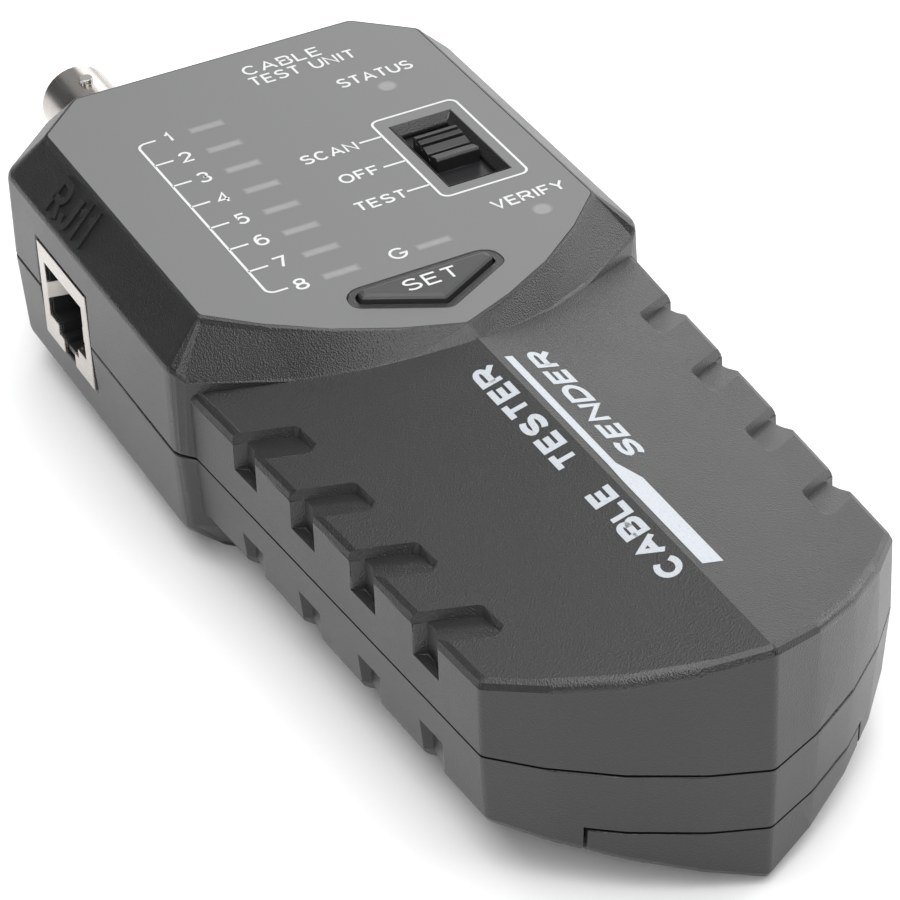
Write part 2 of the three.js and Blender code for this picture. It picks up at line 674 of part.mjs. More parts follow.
function jackShield() {
  const { x, y, z, w, h, depth } = JACK;
  const outer = box(x, y - w / 2, z - h / 2, x + depth, y + w / 2, z + h / 2);
  const inner = box(
    x + 0.45, y - w / 2 + 0.45, z - h / 2 + 0.45, x + depth + 1, y + w / 2 - 0.45, z + h / 2 - 0.45,
  );
  return cut(outer, inner, prismX(plugOutline(0.1), x - 1, x + 2), contactSlot());
}

function jackInsert() {
  const { x, y, z, w, h, depth } = JACK;
  const body = box(
    x + 0.55, y - w / 2 + 0.6, z - h / 2 + 0.6, x + depth - 0.2, y + w / 2 - 0.6, z + h / 2 - 0.6,
  );
  const bore = prismX(plugOutline(0), x - 1, x + 12.5).intersect(
    box(x - 2, y - 10, z - h / 2 + 1.4, x + 14, y + 10, z + 10));
  return cut(body, bore, contactSlot());
}

function jackContact(i) {
  const { x, z } = JACK;
  const y = JACK.y + (i - 3.5) * 1.02;
  return prismY([
    [x + 3.35, z + 3.9], [x + 11.6, z + 0.6], [x + 11.9, z + 0.95], [x + 3.85, z + 4.2],
    [x + 3.85, z + 7.05], [x + 3.35, z + 7.05],
  ], y - 0.22, y + 0.22);
}

// ---------------------------------------------------------------- bayonet jack
function bncBody() {
  const { x, z, r, rim, lug: lugY, wallOut, wallIn } = BNC;
  const barrel = turnY([
    [1.1, wallIn - 4], [4.7, wallIn - 4], [4.7, wallOut + 0.4], [r, wallOut + 0.6], [r, rim - 0.45],
    [r - 0.35, rim], [4.2, rim], [4.05, rim - 0.3], [4.05, wallOut + 1.2], [1.1, wallOut + 1.2],
    [1.1, wallIn - 4],
  ], x, z, 36);
  const block = prismX([
    [wallIn - 7, z - 7], [wallIn - 0.25, z - 7], [wallIn - 0.25, z + 3.8],
    [wallIn - 3.4, z + 6.8], [wallIn - 7, z + 6.8],
  ], x - 7, x + 7);
  const bore = turnY([[0, wallIn - 9], [1.1, wallIn - 9], [1.1, wallOut + 2], [0, wallOut + 2]], x, z, 20);
  const lug = (s) => rod(x, lugY, 0.95, z + (s > 0 ? 4.3 : -5.6), z + (s > 0 ? 5.6 : -4.3), 14);
  const legs = [-5.5, 5.5].map((dx) => box(x + dx - 0.4, wallIn - 10.5, z + 0.1, x + dx + 0.4, wallIn - 6, z + 0.7));
  return join(cut(join(block, barrel), bore), lug(1), lug(-1), legs);
}

function bncInsulator() {
  const { x, z, rim, wallOut } = BNC;
  return turnY([
    [0.85, wallOut + 1.3], [3.9, wallOut + 1.3], [3.9, wallOut + 3.0], [2.4, wallOut + 3.0],
    [2.4, rim - 1.6], [0.85, rim - 1.6], [0.85, wallOut + 1.3],
  ], x, z, 28);
}

function bncContact() {
  const { x, z, rim, wallIn } = BNC;
  return turnY([
    [0, wallIn - 10.4], [0.45, wallIn - 10.4], [0.45, wallIn - 1], [0.75, wallIn - 1],
    [0.75, rim - 1.8], [0.5, rim - 1.7], [0.5, rim - 5.5], [0, rim - 5.5],
  ], x, z, 16);
}

// ---------------------------------------------------------------- battery and leads
function batteryBody() {
  const { half, y0, y1, z0, z1 } = BATTERY;
  const c = 1.6;
  return prismY([
    [-half + c, z0], [half - c, z0], [half, z0 + c], [half, z1 - c],
    [half - c, z1], [-half + c, z1], [-half, z1 - c], [-half, z0 + c],
  ], y0, y1);
}

const BATTERY_MID = (BATTERY.z0 + BATTERY.z1) / 2;

function terminalPlus() {
  const y = BATTERY.y1 + 0.1;
  return turnY([[0, y], [2.9, y], [2.75, y + 2.1], [0, y + 2.1]], -6.35, BATTERY_MID, 16);
}

function terminalMinus() {
  const y = BATTERY.y1 + 0.1;
  return turnY([
    [0, y], [3.9, y], [4.1, y + 2.1], [3.3, y + 2.1], [3.3, y + 0.5], [0, y + 0.5],
  ], 6.35, BATTERY_MID, 12);
}

function batterySnap() {
  const y0 = BATTERY.y1 + 0.35;
  const y1 = y0 + 4.0;
  const z = BATTERY_MID;
  const pad = prismY(rounded(rect(-12.6, z - 6.3, 12.6, z + 6.3), [5, 5, 5, 5], 4), y0, y1);
  const well = (x, r) => turnY([[0, y0 - 1], [r, y0 - 1], [r, y0 + 2.3], [0, y0 + 2.3]], x, z, 20);
  return cut(pad, well(-6.35, 3.1), well(6.35, 4.3));
}

function lead(side) {
  const x = side * 1.4;
  const path = new THREE.CatmullRomCurve3([
    new THREE.Vector3(x * 1.2, BATTERY.y1 + 4.6, BATTERY_MID + 4),
    new THREE.Vector3(x * 1.1, BATTERY.y1 + 6.6, BATTERY_MID + 4.8),
    new THREE.Vector3(x, -10.5, 20.4),
    new THREE.Vector3(x, -7.2, 20.4),
    new THREE.Vector3(x * 1.2, -5.0, 22.2),
    new THREE.Vector3(x * 1.2, -4.6, BOARD_Z - 0.25),
  ]);
  const ring = Array.from({ length: 8 }, (_, i) => [
    0.62 * Math.cos((i * Math.PI) / 4), 0.62 * Math.sin((i * Math.PI) / 4)]);
  const g = new THREE.ExtrudeGeometry(shapeOf(ring), { steps: 22, extrudePath: path });
  return toSolid(g);
}

// ---------------------------------------------------------------- fixings
function screw(x, y, headZ, headR, headT, shankR, tipZ, slot) {
  const body = turnZ([
    [0, headZ - headT], [headR * 0.72, headZ - headT], [headR, headZ - headT * 0.55], [headR, headZ],
    [shankR, headZ], [shankR, tipZ - 1.4], [0, tipZ],
  ], x, y, 16);
  const s = headR * 0.62;
  const cross = [
    box(x - s, y - slot, headZ - headT - 1, x + s, y + slot, headZ - headT * 0.45),
    box(x - slot, y - s, headZ - headT - 1, x + slot, y + s, headZ - headT * 0.45),
  ];
  return cut(body, cross);
}

// ---------------------------------------------------------------- assembly
const group = new THREE.Group();
function put(name, body, look) {
  const mesh = new THREE.Mesh(toGeometry(body), new THREE.MeshStandardMaterial(M[look]));
  mesh.name = name;
  group.add(mesh);
}

put('top_shell', topShell(), 'casing');
put('bottom_shell', bottomShell(), 'casing');
put('battery_door', batteryDoor(), 'casing');
put('face_plate', facePlate(), 'label');
put('set_button', setButton(), 'button');
put('switch_knob', switchKnob(), 'black');
put('switch_body', switchBody(), 'steel');
put('tact_switch_body', tactBody(), 'black');
put('tact_switch_plunger', tactPlunger(), 'button');
barCentres().forEach((c, i) => put(`lamp_bar_${i + 1}`, barLamp(c), 'lens'));
put('lamp_bar_ground', barLamp(GROUND_BAR), 'lens');
put('lamp_status', roundLamp(STATUS), 'lens');
put('lamp_verify', roundLamp(VERIFY), 'lens');
put('circuit_board', circuitBoard(), 'board');
put('controller_chip', controllerChip(), 'black');
put('jack_shield', jackShield(), 'nickel');
put('jack_insert', jackInsert(), 'black');
for (let i = 0; i < 8; i += 1) put(`jack_contact_${i + 1}`, jackContact(i), 'gold');
put('bayonet_jack_body', bncBody(), 'nickel');
put('bayonet_jack_insulator', bncInsulator(), 'ptfe');
put('bayonet_jack_contact', bncContact(), 'gold');
put('battery', batteryBody(), 'battery');
put('battery_terminal_plus', terminalPlus(), 'nickel');
put('battery_terminal_minus', terminalMinus(), 'nickel');
put('battery_snap', batterySnap(), 'black');
put('battery_lead_red', lead(-1), 'red');
put('battery_lead_black', lead(1), 'black');
CASE_SCREWS.forEach(([x, y], i) => (
  put(`case_screw_${i + 1}`, screw(x, y, y > 0 ? 5.4 : 9.4, 2.7, 2.0, 1.1, 26.0, 0.4), 'steel')));
BOARD_SCREWS.forEach(([x, y], i) => (
  put(`board_screw_${i + 1}`, screw(x, y, BOARD_Z - 0.1, 1.9, 1.3, 0.75, 30.2, 0.3), 'steel')));

export default group;
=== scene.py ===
# %% [markdown]
# # The sender of a cable tester, as a finished model
#
# The real object is a hand-held sender: a long faceted plastic case with a grey
# control label at its head, a modular jack in its left side, a bayonet jack on its
# far end and a battery behind a door in its tail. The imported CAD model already
# holds every part in its right place, so the work here is the finish: rounded
# moulding edges, printed lettering, metal and plastic that react to light.
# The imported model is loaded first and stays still, and each piece rides on it.

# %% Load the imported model
import json
import math

import bmesh
import bpy
from mathutils import Matrix, Vector, geometry
from mathutils.bvhtree import BVHTree


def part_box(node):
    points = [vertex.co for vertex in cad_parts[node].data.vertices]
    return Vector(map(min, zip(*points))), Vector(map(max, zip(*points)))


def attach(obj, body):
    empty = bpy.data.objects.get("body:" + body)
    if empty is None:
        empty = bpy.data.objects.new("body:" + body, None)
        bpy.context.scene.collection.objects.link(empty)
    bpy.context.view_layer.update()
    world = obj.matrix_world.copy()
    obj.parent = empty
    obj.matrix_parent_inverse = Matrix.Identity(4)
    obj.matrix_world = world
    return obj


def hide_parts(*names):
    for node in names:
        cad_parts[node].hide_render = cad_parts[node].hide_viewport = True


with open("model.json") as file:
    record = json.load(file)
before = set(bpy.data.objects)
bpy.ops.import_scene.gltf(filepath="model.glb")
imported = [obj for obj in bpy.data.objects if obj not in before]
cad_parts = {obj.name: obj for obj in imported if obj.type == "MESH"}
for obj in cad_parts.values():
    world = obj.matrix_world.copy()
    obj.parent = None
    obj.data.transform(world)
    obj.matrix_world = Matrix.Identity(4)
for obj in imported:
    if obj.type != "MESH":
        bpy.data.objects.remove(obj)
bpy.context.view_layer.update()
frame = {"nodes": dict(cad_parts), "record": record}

MM = 0.001
NODES = frame["nodes"]

# %% [markdown]
# ## Camera and light
#
# The camera looks down over the tail towards the head, from the left. A long lens
# from close to half a metre keeps the near tail only a little larger than the head.
# Dark plastic shows almost nothing of its own: it shows what it mirrors. So the
# light is built like a small studio, with a bright floor that lights the side walls
# and a broad softbox overhead that does most of the lighting of the label. Low boxes
# on the front left, the right and the back right give the walls and the right half of
# the handle something to mirror, and a weak one high behind lifts the far end.

# %% Camera
camera_data = bpy.data.cameras.new("camera")
camera_data.sensor_width = 36.0
camera_data.lens = 144.2
camera_data.clip_start = 0.01
camera = bpy.data.objects.new("camera", camera_data)
right = Vector((0.88699, -0.46021, -0.03812))
up = Vector((0.29829, 0.50798, 0.80807))
back = Vector((-0.35252, -0.72812, 0.58785))
turn = Matrix((right, up, back)).transposed()
camera.matrix_world = Matrix.Translation((-0.15472, -0.32348, 0.26981)) @ turn.to_4x4()
bpy.context.scene.collection.objects.link(camera)
bpy.context.scene.camera = camera
bpy.context.scene.view_settings.view_transform = "Standard"
print("camera", [round(v, 3) for v in camera.matrix_world.translation])

# %% Softboxes, placed by bearing from the object's middle
MIDDLE = Vector((0.0, 0.0, 0.017))


def softbox(name, bearing, height, distance, width, depth, watts):
    """bearing in degrees from +Y towards +X, height in degrees above the floor."""
    b, h = math.radians(bearing), math.radians(height)
    toward = Vector((math.sin(b) * math.cos(h), math.cos(b) * math.cos(h), math.sin(h)))
    data = bpy.data.lights.new(name, "AREA")
    data.shape = "RECTANGLE"
    data.size, data.size_y, data.energy = width, depth, watts
    lamp = bpy.data.objects.new(name, data)
    lamp.location = MIDDLE + toward * distance
    lamp.rotation_euler = toward.to_track_quat("Z", "Y").to_euler()
    bpy.context.scene.collection.objects.link(lamp)
    return lamp


softbox("overhead", 180, 88, 1.0, 1.4, 1.4, 19.0)
softbox("front_left", 211, 34, 0.9, 0.5, 0.40, 2.5)
softbox("right", 82, 18, 0.9, 0.6, 0.50, 2.8)
softbox("back_right", 38, 18, 0.9, 0.6, 0.40, 1.7)
softbox("back_high", 0, 40, 0.9, 0.5, 0.30, 0.2)

world = bpy.data.worlds.new("studio")
bpy.context.scene.world = world
world.use_nodes = True
world.node_tree.nodes["Background"].inputs["Color"].default_value = (0.94, 0.97, 1.0, 1)
world.node_tree.nodes["Background"].inputs["Strength"].default_value = 0.10

# %% Floor
floor_mesh = bpy.data.meshes.new("floor")
floor_mesh.from_pydata([(-3, -3, 0), (3, -3, 0), (3, 3, 0), (-3, 3, 0)], [], [(0, 1, 2, 3)])
floor = bpy.data.objects.new("floor", floor_mesh)
floor.location.z = -0.00005
bpy.context.scene.collection.objects.link(floor)
paper = bpy.data.materials.new("paper")
paper.use_nodes = True
paper_shader = paper.node_tree.nodes["Principled BSDF"]
paper_shader.inputs["Base Color"].default_value = (0.93, 0.93, 0.93, 1)
paper_shader.inputs["Roughness"].default_value = 0.8
paper_shader.inputs["Specular IOR Level"].default_value = 0.2
floor_mesh.materials.append(paper)

# %% [markdown]
# ## Finishes
#
# Three effects are shared, so each is a node group built once: moulded plastic with
# its fine grain, smudges, polished edges and a painted highlight along those edges;
# plated metal with fine streaks; and screen-printed ink with tiny gaps. A group hands
# out only a colour, a roughness and a height. The shader itself stays in each material,
# where its plain numbers are set.

# %% Small helpers for node trees
def node(tree, kind, settings=(), **inputs):
    """A shader node; an input is named with _ for a space, or i and its number."""
    made = tree.nodes.new("ShaderNode" + kind)
    for key, value in dict(settings).items():
        setattr(made, key, value)
    for key, value in inputs.items():
        by_number = key[0] == "i" and key[1:].isdigit()
        socket = made.inputs[int(key[1:]) if by_number else key.replace("_", " ")]
        if isinstance(value, bpy.types.NodeSocket):
            tree.links.new(value, socket)
        else:
            socket.default_value = value
    return made


def group(name, inputs, outputs):
    """A new shader node group with named sockets: {name: (kind, default)}."""
    tree = bpy.data.node_groups.new(name, "ShaderNodeTree")
    for label, (kind, value) in inputs.items():
        socket = tree.interface.new_socket(label, in_out="INPUT", socket_type="NodeSocket" + kind)
        socket.default_value = value
    for label, kind in outputs.items():
        tree.interface.new_socket(label, in_out="OUTPUT", socket_type="NodeSocket" + kind)
    return tree, tree.nodes.new("NodeGroupInput").outputs, tree.nodes.new("NodeGroupOutput").inputs


def maths(tree, operation, a, b=0.0, c=0.0, clamp=False):
    """The result of one sum on numbers or sockets."""
    return node(tree, "Math", {"operation": operation, "use_clamp": clamp}, i0=a, i1=b, i2=c).outputs[0]


def blend(tree, factor, a, b):
    """Colour a where the factor is 0, and colour b where it is 1."""
    mix = node(tree, "Mix", {"data_type": "RGBA"}, i0=factor, i6=a, i7=b)
    return mix.outputs[2]


# %% Moulded plastic: grain, smudges, edges polished by handling, and a painted highlight on the edges
GREY = (0.02, 0.02, 0.02, 1)
PLASTIC, given, result = group(
    "moulded plastic",
    {"Colour": ("Color", GREY), "Edge colour": ("Color", GREY), "Roughness": ("Float", 0.45),
     "Smudges": ("Float", 0.1), "Edge polish": ("Float", 0.1), "Grain size": ("Float", 0.0003)},
    {"Colour": "Color", "Roughness": "Float", "Height": "Float"},
)
place = node(PLASTIC, "TexCoord").outputs["Object"]
per_metre = maths(PLASTIC, "DIVIDE", 1.0, given["Grain size"])
pits = node(PLASTIC, "TexVoronoi", {"feature": "SMOOTH_F1"}, Vector=place, Scale=per_metre, Smoothness=0.6)
specks = node(PLASTIC, "TexNoise", Vector=place, Scale=per_metre, Detail=2.0)
fine = maths(PLASTIC, "MULTIPLY_ADD", specks.outputs[0], 0.7, pits.outputs["Distance"])
PLASTIC.links.new(fine, result["Height"])
hands = node(PLASTIC, "TexNoise", Vector=place, Scale=70.0, Detail=5.0, Roughness=0.6)
smudge = maths(PLASTIC, "SUBTRACT", hands.outputs[0], 0.5)
edge = node(PLASTIC, "Attribute", {"attribute_name": "edge"}).outputs["Fac"]
nicks = node(PLASTIC, "TexNoise", Vector=place, Scale=420.0, Detail=3.0)
# on the round strips, broken up by nicks: the roughness drops there as polish, and the colour is lightened there as a
# painted highlight
edge_polish_and_highlight = maths(PLASTIC, "MULTIPLY", edge, maths(PLASTIC, "MULTIPLY_ADD", nicks.outputs[0], 1.6, -0.2, True))
rough = maths(PLASTIC, "MULTIPLY_ADD", smudge, given["Smudges"], given["Roughness"])
rough = maths(PLASTIC, "SUBTRACT", rough, maths(PLASTIC, "MULTIPLY", edge_polish_and_highlight, given["Edge polish"]), clamp=True)
PLASTIC.links.new(rough, result["Roughness"])
tint = maths(PLASTIC, "MULTIPLY_ADD", specks.outputs[0], 0.35, maths(PLASTIC, "MULTIPLY", hands.outputs[0], 0.2), True)
shade = blend(PLASTIC, maths(PLASTIC, "MULTIPLY", tint, 0.6), given["Colour"], given["Edge colour"])
# painted highlight: on the round strips the colour turns to the lighter edge colour
PLASTIC.links.new(blend(PLASTIC, edge_polish_and_highlight, shade, given["Edge colour"]), result["Colour"])

# %% Plated metal: fine streaks along the sheet and a cloudy film
METAL, given, result = group(
    "plated metal",
    {"Colour": ("Color", (0.7, 0.68, 0.65, 1)), "Dull colour": ("Color", (0.4, 0.38, 0.36, 1)),
     "Roughness": ("Float", 0.25), "Streaks": ("Float", 0.15)},
    {"Colour": "Color", "Roughness": "Float", "Height": "Float"},
)
place = node(METAL, "TexCoord").outputs["Object"]
long_way = node(METAL, "Mapping", Vector=place, Scale=(400.0, 400.0, 6000.0)).outputs[0]
brushed = node(METAL, "TexNoise", Vector=long_way, Scale=1.0, Detail=3.0).outputs[0]
cloud = node(METAL, "TexNoise", Vector=place, Scale=300.0, Detail=4.0).outputs[0]
METAL.links.new(brushed, result["Height"])
METAL.links.new(
    maths(METAL, "MULTIPLY_ADD", maths(METAL, "ADD", brushed, cloud), given["Streaks"], given["Roughness"]),
    result["Roughness"])
METAL.links.new(
    blend(METAL, maths(METAL, "MULTIPLY_ADD", cloud, 1.4, -0.4, True), given["Colour"], given["Dull colour"]),
    result["Colour"])

# %% Screen-printed ink: a dense film with the odd pinhole
INK, given, result = group(
    "printed ink",
    {"Colour": ("Color", (0.8, 0.8, 0.8, 1)), "Thin colour": ("Color", (0.6, 0.6, 0.6, 1)),
     "Roughness": ("Float", 0.5)},
    {"Colour": "Color", "Roughness": "Float", "Height": "Float"},
)
place = node(INK, "TexCoord").outputs["Object"]
film = node(INK, "TexNoise", Vector=place, Scale=5200.0, Detail=3.0).outputs[0]
INK.links.new(film, result["Height"])
holes = maths(INK, "MULTIPLY_ADD", film, 3.0, -1.6, True)
INK.links.new(blend(INK, holes, given["Colour"], given["Thin colour"]), result["Colour"])
INK.links.new(maths(INK, "MULTIPLY_ADD", film, 0.15, given["Roughness"]), result["Roughness"])


# %% A material from one of the groups
def finish(name, effect, bump, shader=(), **values):
    """A Principled material fed by an effect group; bump is the relief depth in millimetres."""
    made = bpy.data.materials.new(name)
    made.use_nodes = True
    tree = made.node_tree
    surface = tree.nodes["Principled BSDF"]
    for label, value in dict(shader).items():
        surface.inputs[label].default_value = value
    effects = tree.nodes.new("ShaderNodeGroup")
    effects.node_tree = effect
    for label, value in values.items():
        effects.inputs[label.replace("_", " ")].default_value = value
    relief = node(tree, "Bump", Strength=1.0, Distance=bump * MM, Height=effects.outputs["Height"])
    tree.links.new(effects.outputs["Colour"], surface.inputs["Base Color"])
    tree.links.new(effects.outputs["Roughness"], surface.inputs["Roughness"])
    tree.links.new(relief.outputs[0], surface.inputs["Normal"])
    return made


# Each plastic's edge colour is lighter than its colour: it serves for random mottle, and as a painted highlight on the
# rounded edges
casing = finish("casing plastic", PLASTIC, 0.042, {"Specular IOR Level": 0.62},
                Colour=(0.0105, 0.0107, 0.0110, 1), Edge_colour=(0.020, 0.0205, 0.021, 1),
                Roughness=0.36, Smudges=0.12, Edge_polish=0.12, Grain_size=0.00019)
label_film = finish("label film", PLASTIC, 0.002,
                    Colour=(0.138, 0.142, 0.139, 1), Edge_colour=(0.158, 0.162, 0.159, 1),
                    Roughness=0.48, Smudges=0.06, Edge_polish=0.0, Grain_size=0.00016)
key_plastic = finish("key plastic", PLASTIC, 0.004,
                     Colour=(0.034, 0.0345, 0.035, 1), Edge_colour=(0.055, 0.056, 0.057, 1),
                     Roughness=0.42, Smudges=0.10, Edge_polish=0.12, Grain_size=0.00022)
black_plastic = finish("black plastic", PLASTIC, 0.003,
                       Colour=(0.012, 0.012, 0.013, 1), Edge_colour=(0.03, 0.03, 0.032, 1),
                       Roughness=0.32, Smudges=0.10, Edge_polish=0.12, Grain_size=0.00018)
insulator_plastic = finish("insulator plastic", PLASTIC, 0.002,
                           Colour=(0.55, 0.55, 0.52, 1), Edge_colour=(0.7, 0.7, 0.68, 1),
                           Roughness=0.35, Smudges=0.08, Edge_polish=0.05, Grain_size=0.0002)
red_sleeve = finish("red sleeve", PLASTIC, 0.002,
                    Colour=(0.35, 0.012, 0.010, 1), Edge_colour=(0.45, 0.03, 0.02, 1),
                    Roughness=0.38, Smudges=0.10, Edge_polish=0.05, Grain_size=0.0002)
nickel = finish("nickel plate", METAL, 0.0006, {"Metallic": 1.0},
                Colour=(0.53, 0.50, 0.47, 1), Dull_colour=(0.42, 0.39, 0.37, 1),
                Roughness=0.16, Streaks=0.12)
steel = finish("zinc steel", METAL, 0.0010, {"Metallic": 1.0},
               Colour=(0.58, 0.58, 0.58, 1), Dull_colour=(0.36, 0.36, 0.37, 1),
               Roughness=0.26, Streaks=0.16)
gold = finish("gold plate", METAL, 0.0005, {"Metallic": 1.0},
              Colour=(0.90, 0.66, 0.28, 1), Dull_colour=(0.70, 0.48, 0.20, 1),
              Roughness=0.18, Streaks=0.10)
spring_metal = finish("spring strip", METAL, 0.0012, {"Metallic": 1.0},
                      Colour=(0.86, 0.83, 0.79, 1), Dull_colour=(0.70, 0.67, 0.63, 1),
                      Roughness=0.62, Streaks=0.10)
white_ink = finish("white ink", INK, 0.002,
                   Colour=(0.60, 0.61, 0.60, 1), Thin_colour=(0.42, 0.43, 0.42, 1), Roughness=0.45)
handle_ink = finish("handle ink", INK, 0.006,
                    Colour=(0.46, 0.49, 0.52, 1), Thin_colour=(0.26, 0.28, 0.30, 1), Roughness=0.42)
print("finishes:", len(bpy.data.materials))

# %% [markdown]
# ## Board and battery finishes
#
# These are used once each, so their patterns live in their own materials. The board
# is green lacquer over copper tracks. The battery is a foil wrap, dark with a
# copper-coloured shoulder, without any print.

# %% Board lacquer over tracks
board_lacquer = bpy.data.materials.new("board lacquer")
board_lacquer.use_nodes = True
tree = board_lacquer.node_tree
surface = tree.nodes["Principled BSDF"]
surface.inputs["Coat Weight"].default_value = 0.4
surface.inputs["Coat Roughness"].default_value = 0.2
place = node(tree, "TexCoord").outputs["Object"]
cells = node(tree, "TexVoronoi", {"feature": "DISTANCE_TO_EDGE"}, Vector=place, Scale=330.0, Randomness=0.5)
track = maths(tree, "LESS_THAN", cells.outputs["Distance"], 0.09)
lacquer = blend(tree, track, (0.012, 0.085, 0.035, 1), (0.035, 0.20, 0.075, 1))
tree.links.new(lacquer, surface.inputs["Base Color"])
glaze = node(tree, "TexNoise", Vector=place, Scale=500.0, Detail=2.0).outputs[0]
tree.links.new(maths(tree, "MULTIPLY_ADD", glaze, 0.2, 0.25), surface.inputs["Roughness"])
relief = node(tree, "Bump", Strength=1.0, Distance=0.00003, Height=track)
tree.links.new(relief.outputs[0], surface.inputs["Normal"])

# %% Battery wrap, with its coloured shoulder at the terminal end
SHOULDER_LENGTH = 12 * MM
battery_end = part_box("battery")[1].y
wrap = bpy.data.materials.new("battery wrap")
wrap.use_nodes = True
tree = wrap.node_tree
surface = tree.nodes["Principled BSDF"]
place = node(tree, "TexCoord").outputs["Object"]
along = node(tree, "SeparateXYZ", Vector=place).outputs["Y"]
shoulder = maths(tree, "GREATER_THAN", along, battery_end - SHOULDER_LENGTH)
scuffs = node(tree, "TexNoise", Vector=place, Scale=240.0, Detail=4.0).outputs[0]
body_colour = blend(tree, scuffs, (0.010, 0.010, 0.012, 1), (0.022, 0.022, 0.026, 1))
shoulder_colour = blend(tree, scuffs, (0.42, 0.20, 0.075, 1), (0.55, 0.28, 0.11, 1))
tree.links.new(blend(tree, shoulder, body_colour, shoulder_colour), surface.inputs["Base Color"])
tree.links.new(maths(tree, "MULTIPLY", shoulder, 0.8), surface.inputs["Metallic"])
tree.links.new(maths(tree, "MULTIPLY_ADD", scuffs, 0.2, 0.2), surface.inputs["Roughness"])
creases = node(tree, "Bump", Strength=0.6, Distance=0.00002, Height=scuffs)
tree.links.new(creases.outputs[0], surface.inputs["Normal"])

# %% Lamp window: clear film whose tint fades out at its rim
lens = bpy.data.materials.new("lamp window")
lens.use_nodes = True
tree = lens.node_tree
surface = tree.nodes["Principled BSDF"]
place = node(tree, "TexCoord").outputs["Object"]
core = node(tree, "Attribute", {"attribute_name": "core"}).outputs["Fac"]
mottle = node(tree, "TexNoise", Vector=place, Scale=900.0, Detail=3.0).outputs[0]
amount = maths(tree, "MULTIPLY", core, maths(tree, "MULTIPLY_ADD", mottle, 0.7, 0.55, True))
window_tint = blend(tree, amount, (0.142, 0.146, 0.143, 1), (0.250, 0.247, 0.243, 1))
tree.links.new(window_tint, surface.inputs["Base Color"])
tree.links.new(maths(tree, "MULTIPLY_ADD", mottle, 0.1, 0.43), surface.inputs["Roughness"])
diffuser = node(tree, "Bump", Strength=0.4, Distance=0.000004, Height=mottle)
tree.links.new(diffuser.outputs[0], surface.inputs["Normal"])
print("own finishes:", board_lacquer.name, wrap.name, lens.name)

# %% [markdown]
# ## Rounded moulding edges
#
# A moulded part never has knife edges, and the thin highlight along each edge is
# what makes it look real. The CAD solids are copied, their triangles are merged back
# into flat faces, and the edges that the air reaches get a small round by a Bevel
# modifier driven by edge weights. Whether air reaches an edge is found by sending a
# ray outwards from it: a ray that hits another part means the edge is inside. A round
# that is too wide for the flats beside it would fold over, so each one is kept within
# the room that its neighbours leave, and an edge with hardly any room stays sharp.

# %% Everything solid, as one search tree for those rays
all_points, all_faces = [], []
for part in NODES.values():
    first = len(all_points)
    all_points += [v.co.copy() for v in part.data.vertices]
    all_faces += [[first + i for i in p.vertices] for p in part.data.polygons]
SOLIDS = BVHTree.FromPolygons(all_points, all_faces)
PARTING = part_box("top_shell")[0].z
# all in millimetres, but SHARE, which is the part of the room that one round may take
LEAST_ROUND, LONG_EDGE, SEAM_MARGIN, AMPLE = 0.07, 5.5, 0.6, 9.0
SHARE = 0.45
print("search tree over", len(all_faces), "triangles, parting line at", round(PARTING / MM, 2))


# %% Rounding
def plain(maker):
    """The evaluated mesh of a helper object, which is then removed."""
    bpy.context.view_layer.update()
    mesh = bpy.data.meshes.new_from_object(maker.evaluated_get(bpy.context.evaluated_depsgraph_get()))
    old = maker.data
    bpy.data.objects.remove(maker)
    if old and old.users == 0 and isinstance(old, bpy.types.Mesh):
        bpy.data.meshes.remove(old)
    return mesh


def helper(name, mesh):
    """A new object in the scene, with its origin at the scene's."""
    made = bpy.data.objects.new(name, mesh)
    bpy.context.scene.collection.objects.link(made)
    return made


def in_open_air(edge):
    """True where a short ray outwards from the edge's middle meets nothing solid."""
    outward = edge.link_faces[0].normal + edge.link_faces[1].normal
    if outward.length < 1e-3:
        return False
    outward.normalize()
    middle = (edge.verts[0].co + edge.verts[1].co) / 2
    return SOLIDS.ray_cast(middle + outward * 2e-5, outward, 0.02)[0] is None


def hold_flats(mesh, crease):
    """Corner normals that keep flats flat, blend curved runs, and let only the rounds turn."""
    turn_limit = math.cos(math.radians(crease))
    around = [[] for _ in mesh.vertices]
    for face in mesh.polygons:
        for v in face.vertices:
            around[v].append(face.index)
    normal = [p.normal.copy() for p in mesh.polygons]
    area = [p.area for p in mesh.polygons]
    is_round = [p.material_index == 1 for p in mesh.polygons]
    corner_normals = [None] * len(mesh.loops)

    def flat_normal(v, face):
        total = Vector((0.0, 0.0, 0.0))
        for other in around[v]:
            if not is_round[other] and normal[other].dot(normal[face]) > turn_limit:
                total += normal[other] * area[other]
        return total.normalized() if total.length > 0 else normal[face]

    for face in mesh.polygons:
        for corner_index in face.loop_indices:
            v = mesh.loops[corner_index].vertex_index
            if not is_round[face.index]:
                corner_normals[corner_index] = flat_normal(v, face.index)
                continue
            flats = [flat_normal(v, f) for f in around[v] if not is_round[f]]
            if flats:
                corner_normals[corner_index] = max(flats, key=normal[face.index].dot)
            else:
                total = sum((normal[f] for f in around[v]), Vector((0.0, 0.0, 0.0)))
                corner_normals[corner_index] = total.normalized() if total.length > 0 else normal[face.index]
    mesh.shade_smooth()
    mesh.normals_split_custom_set(corner_normals)


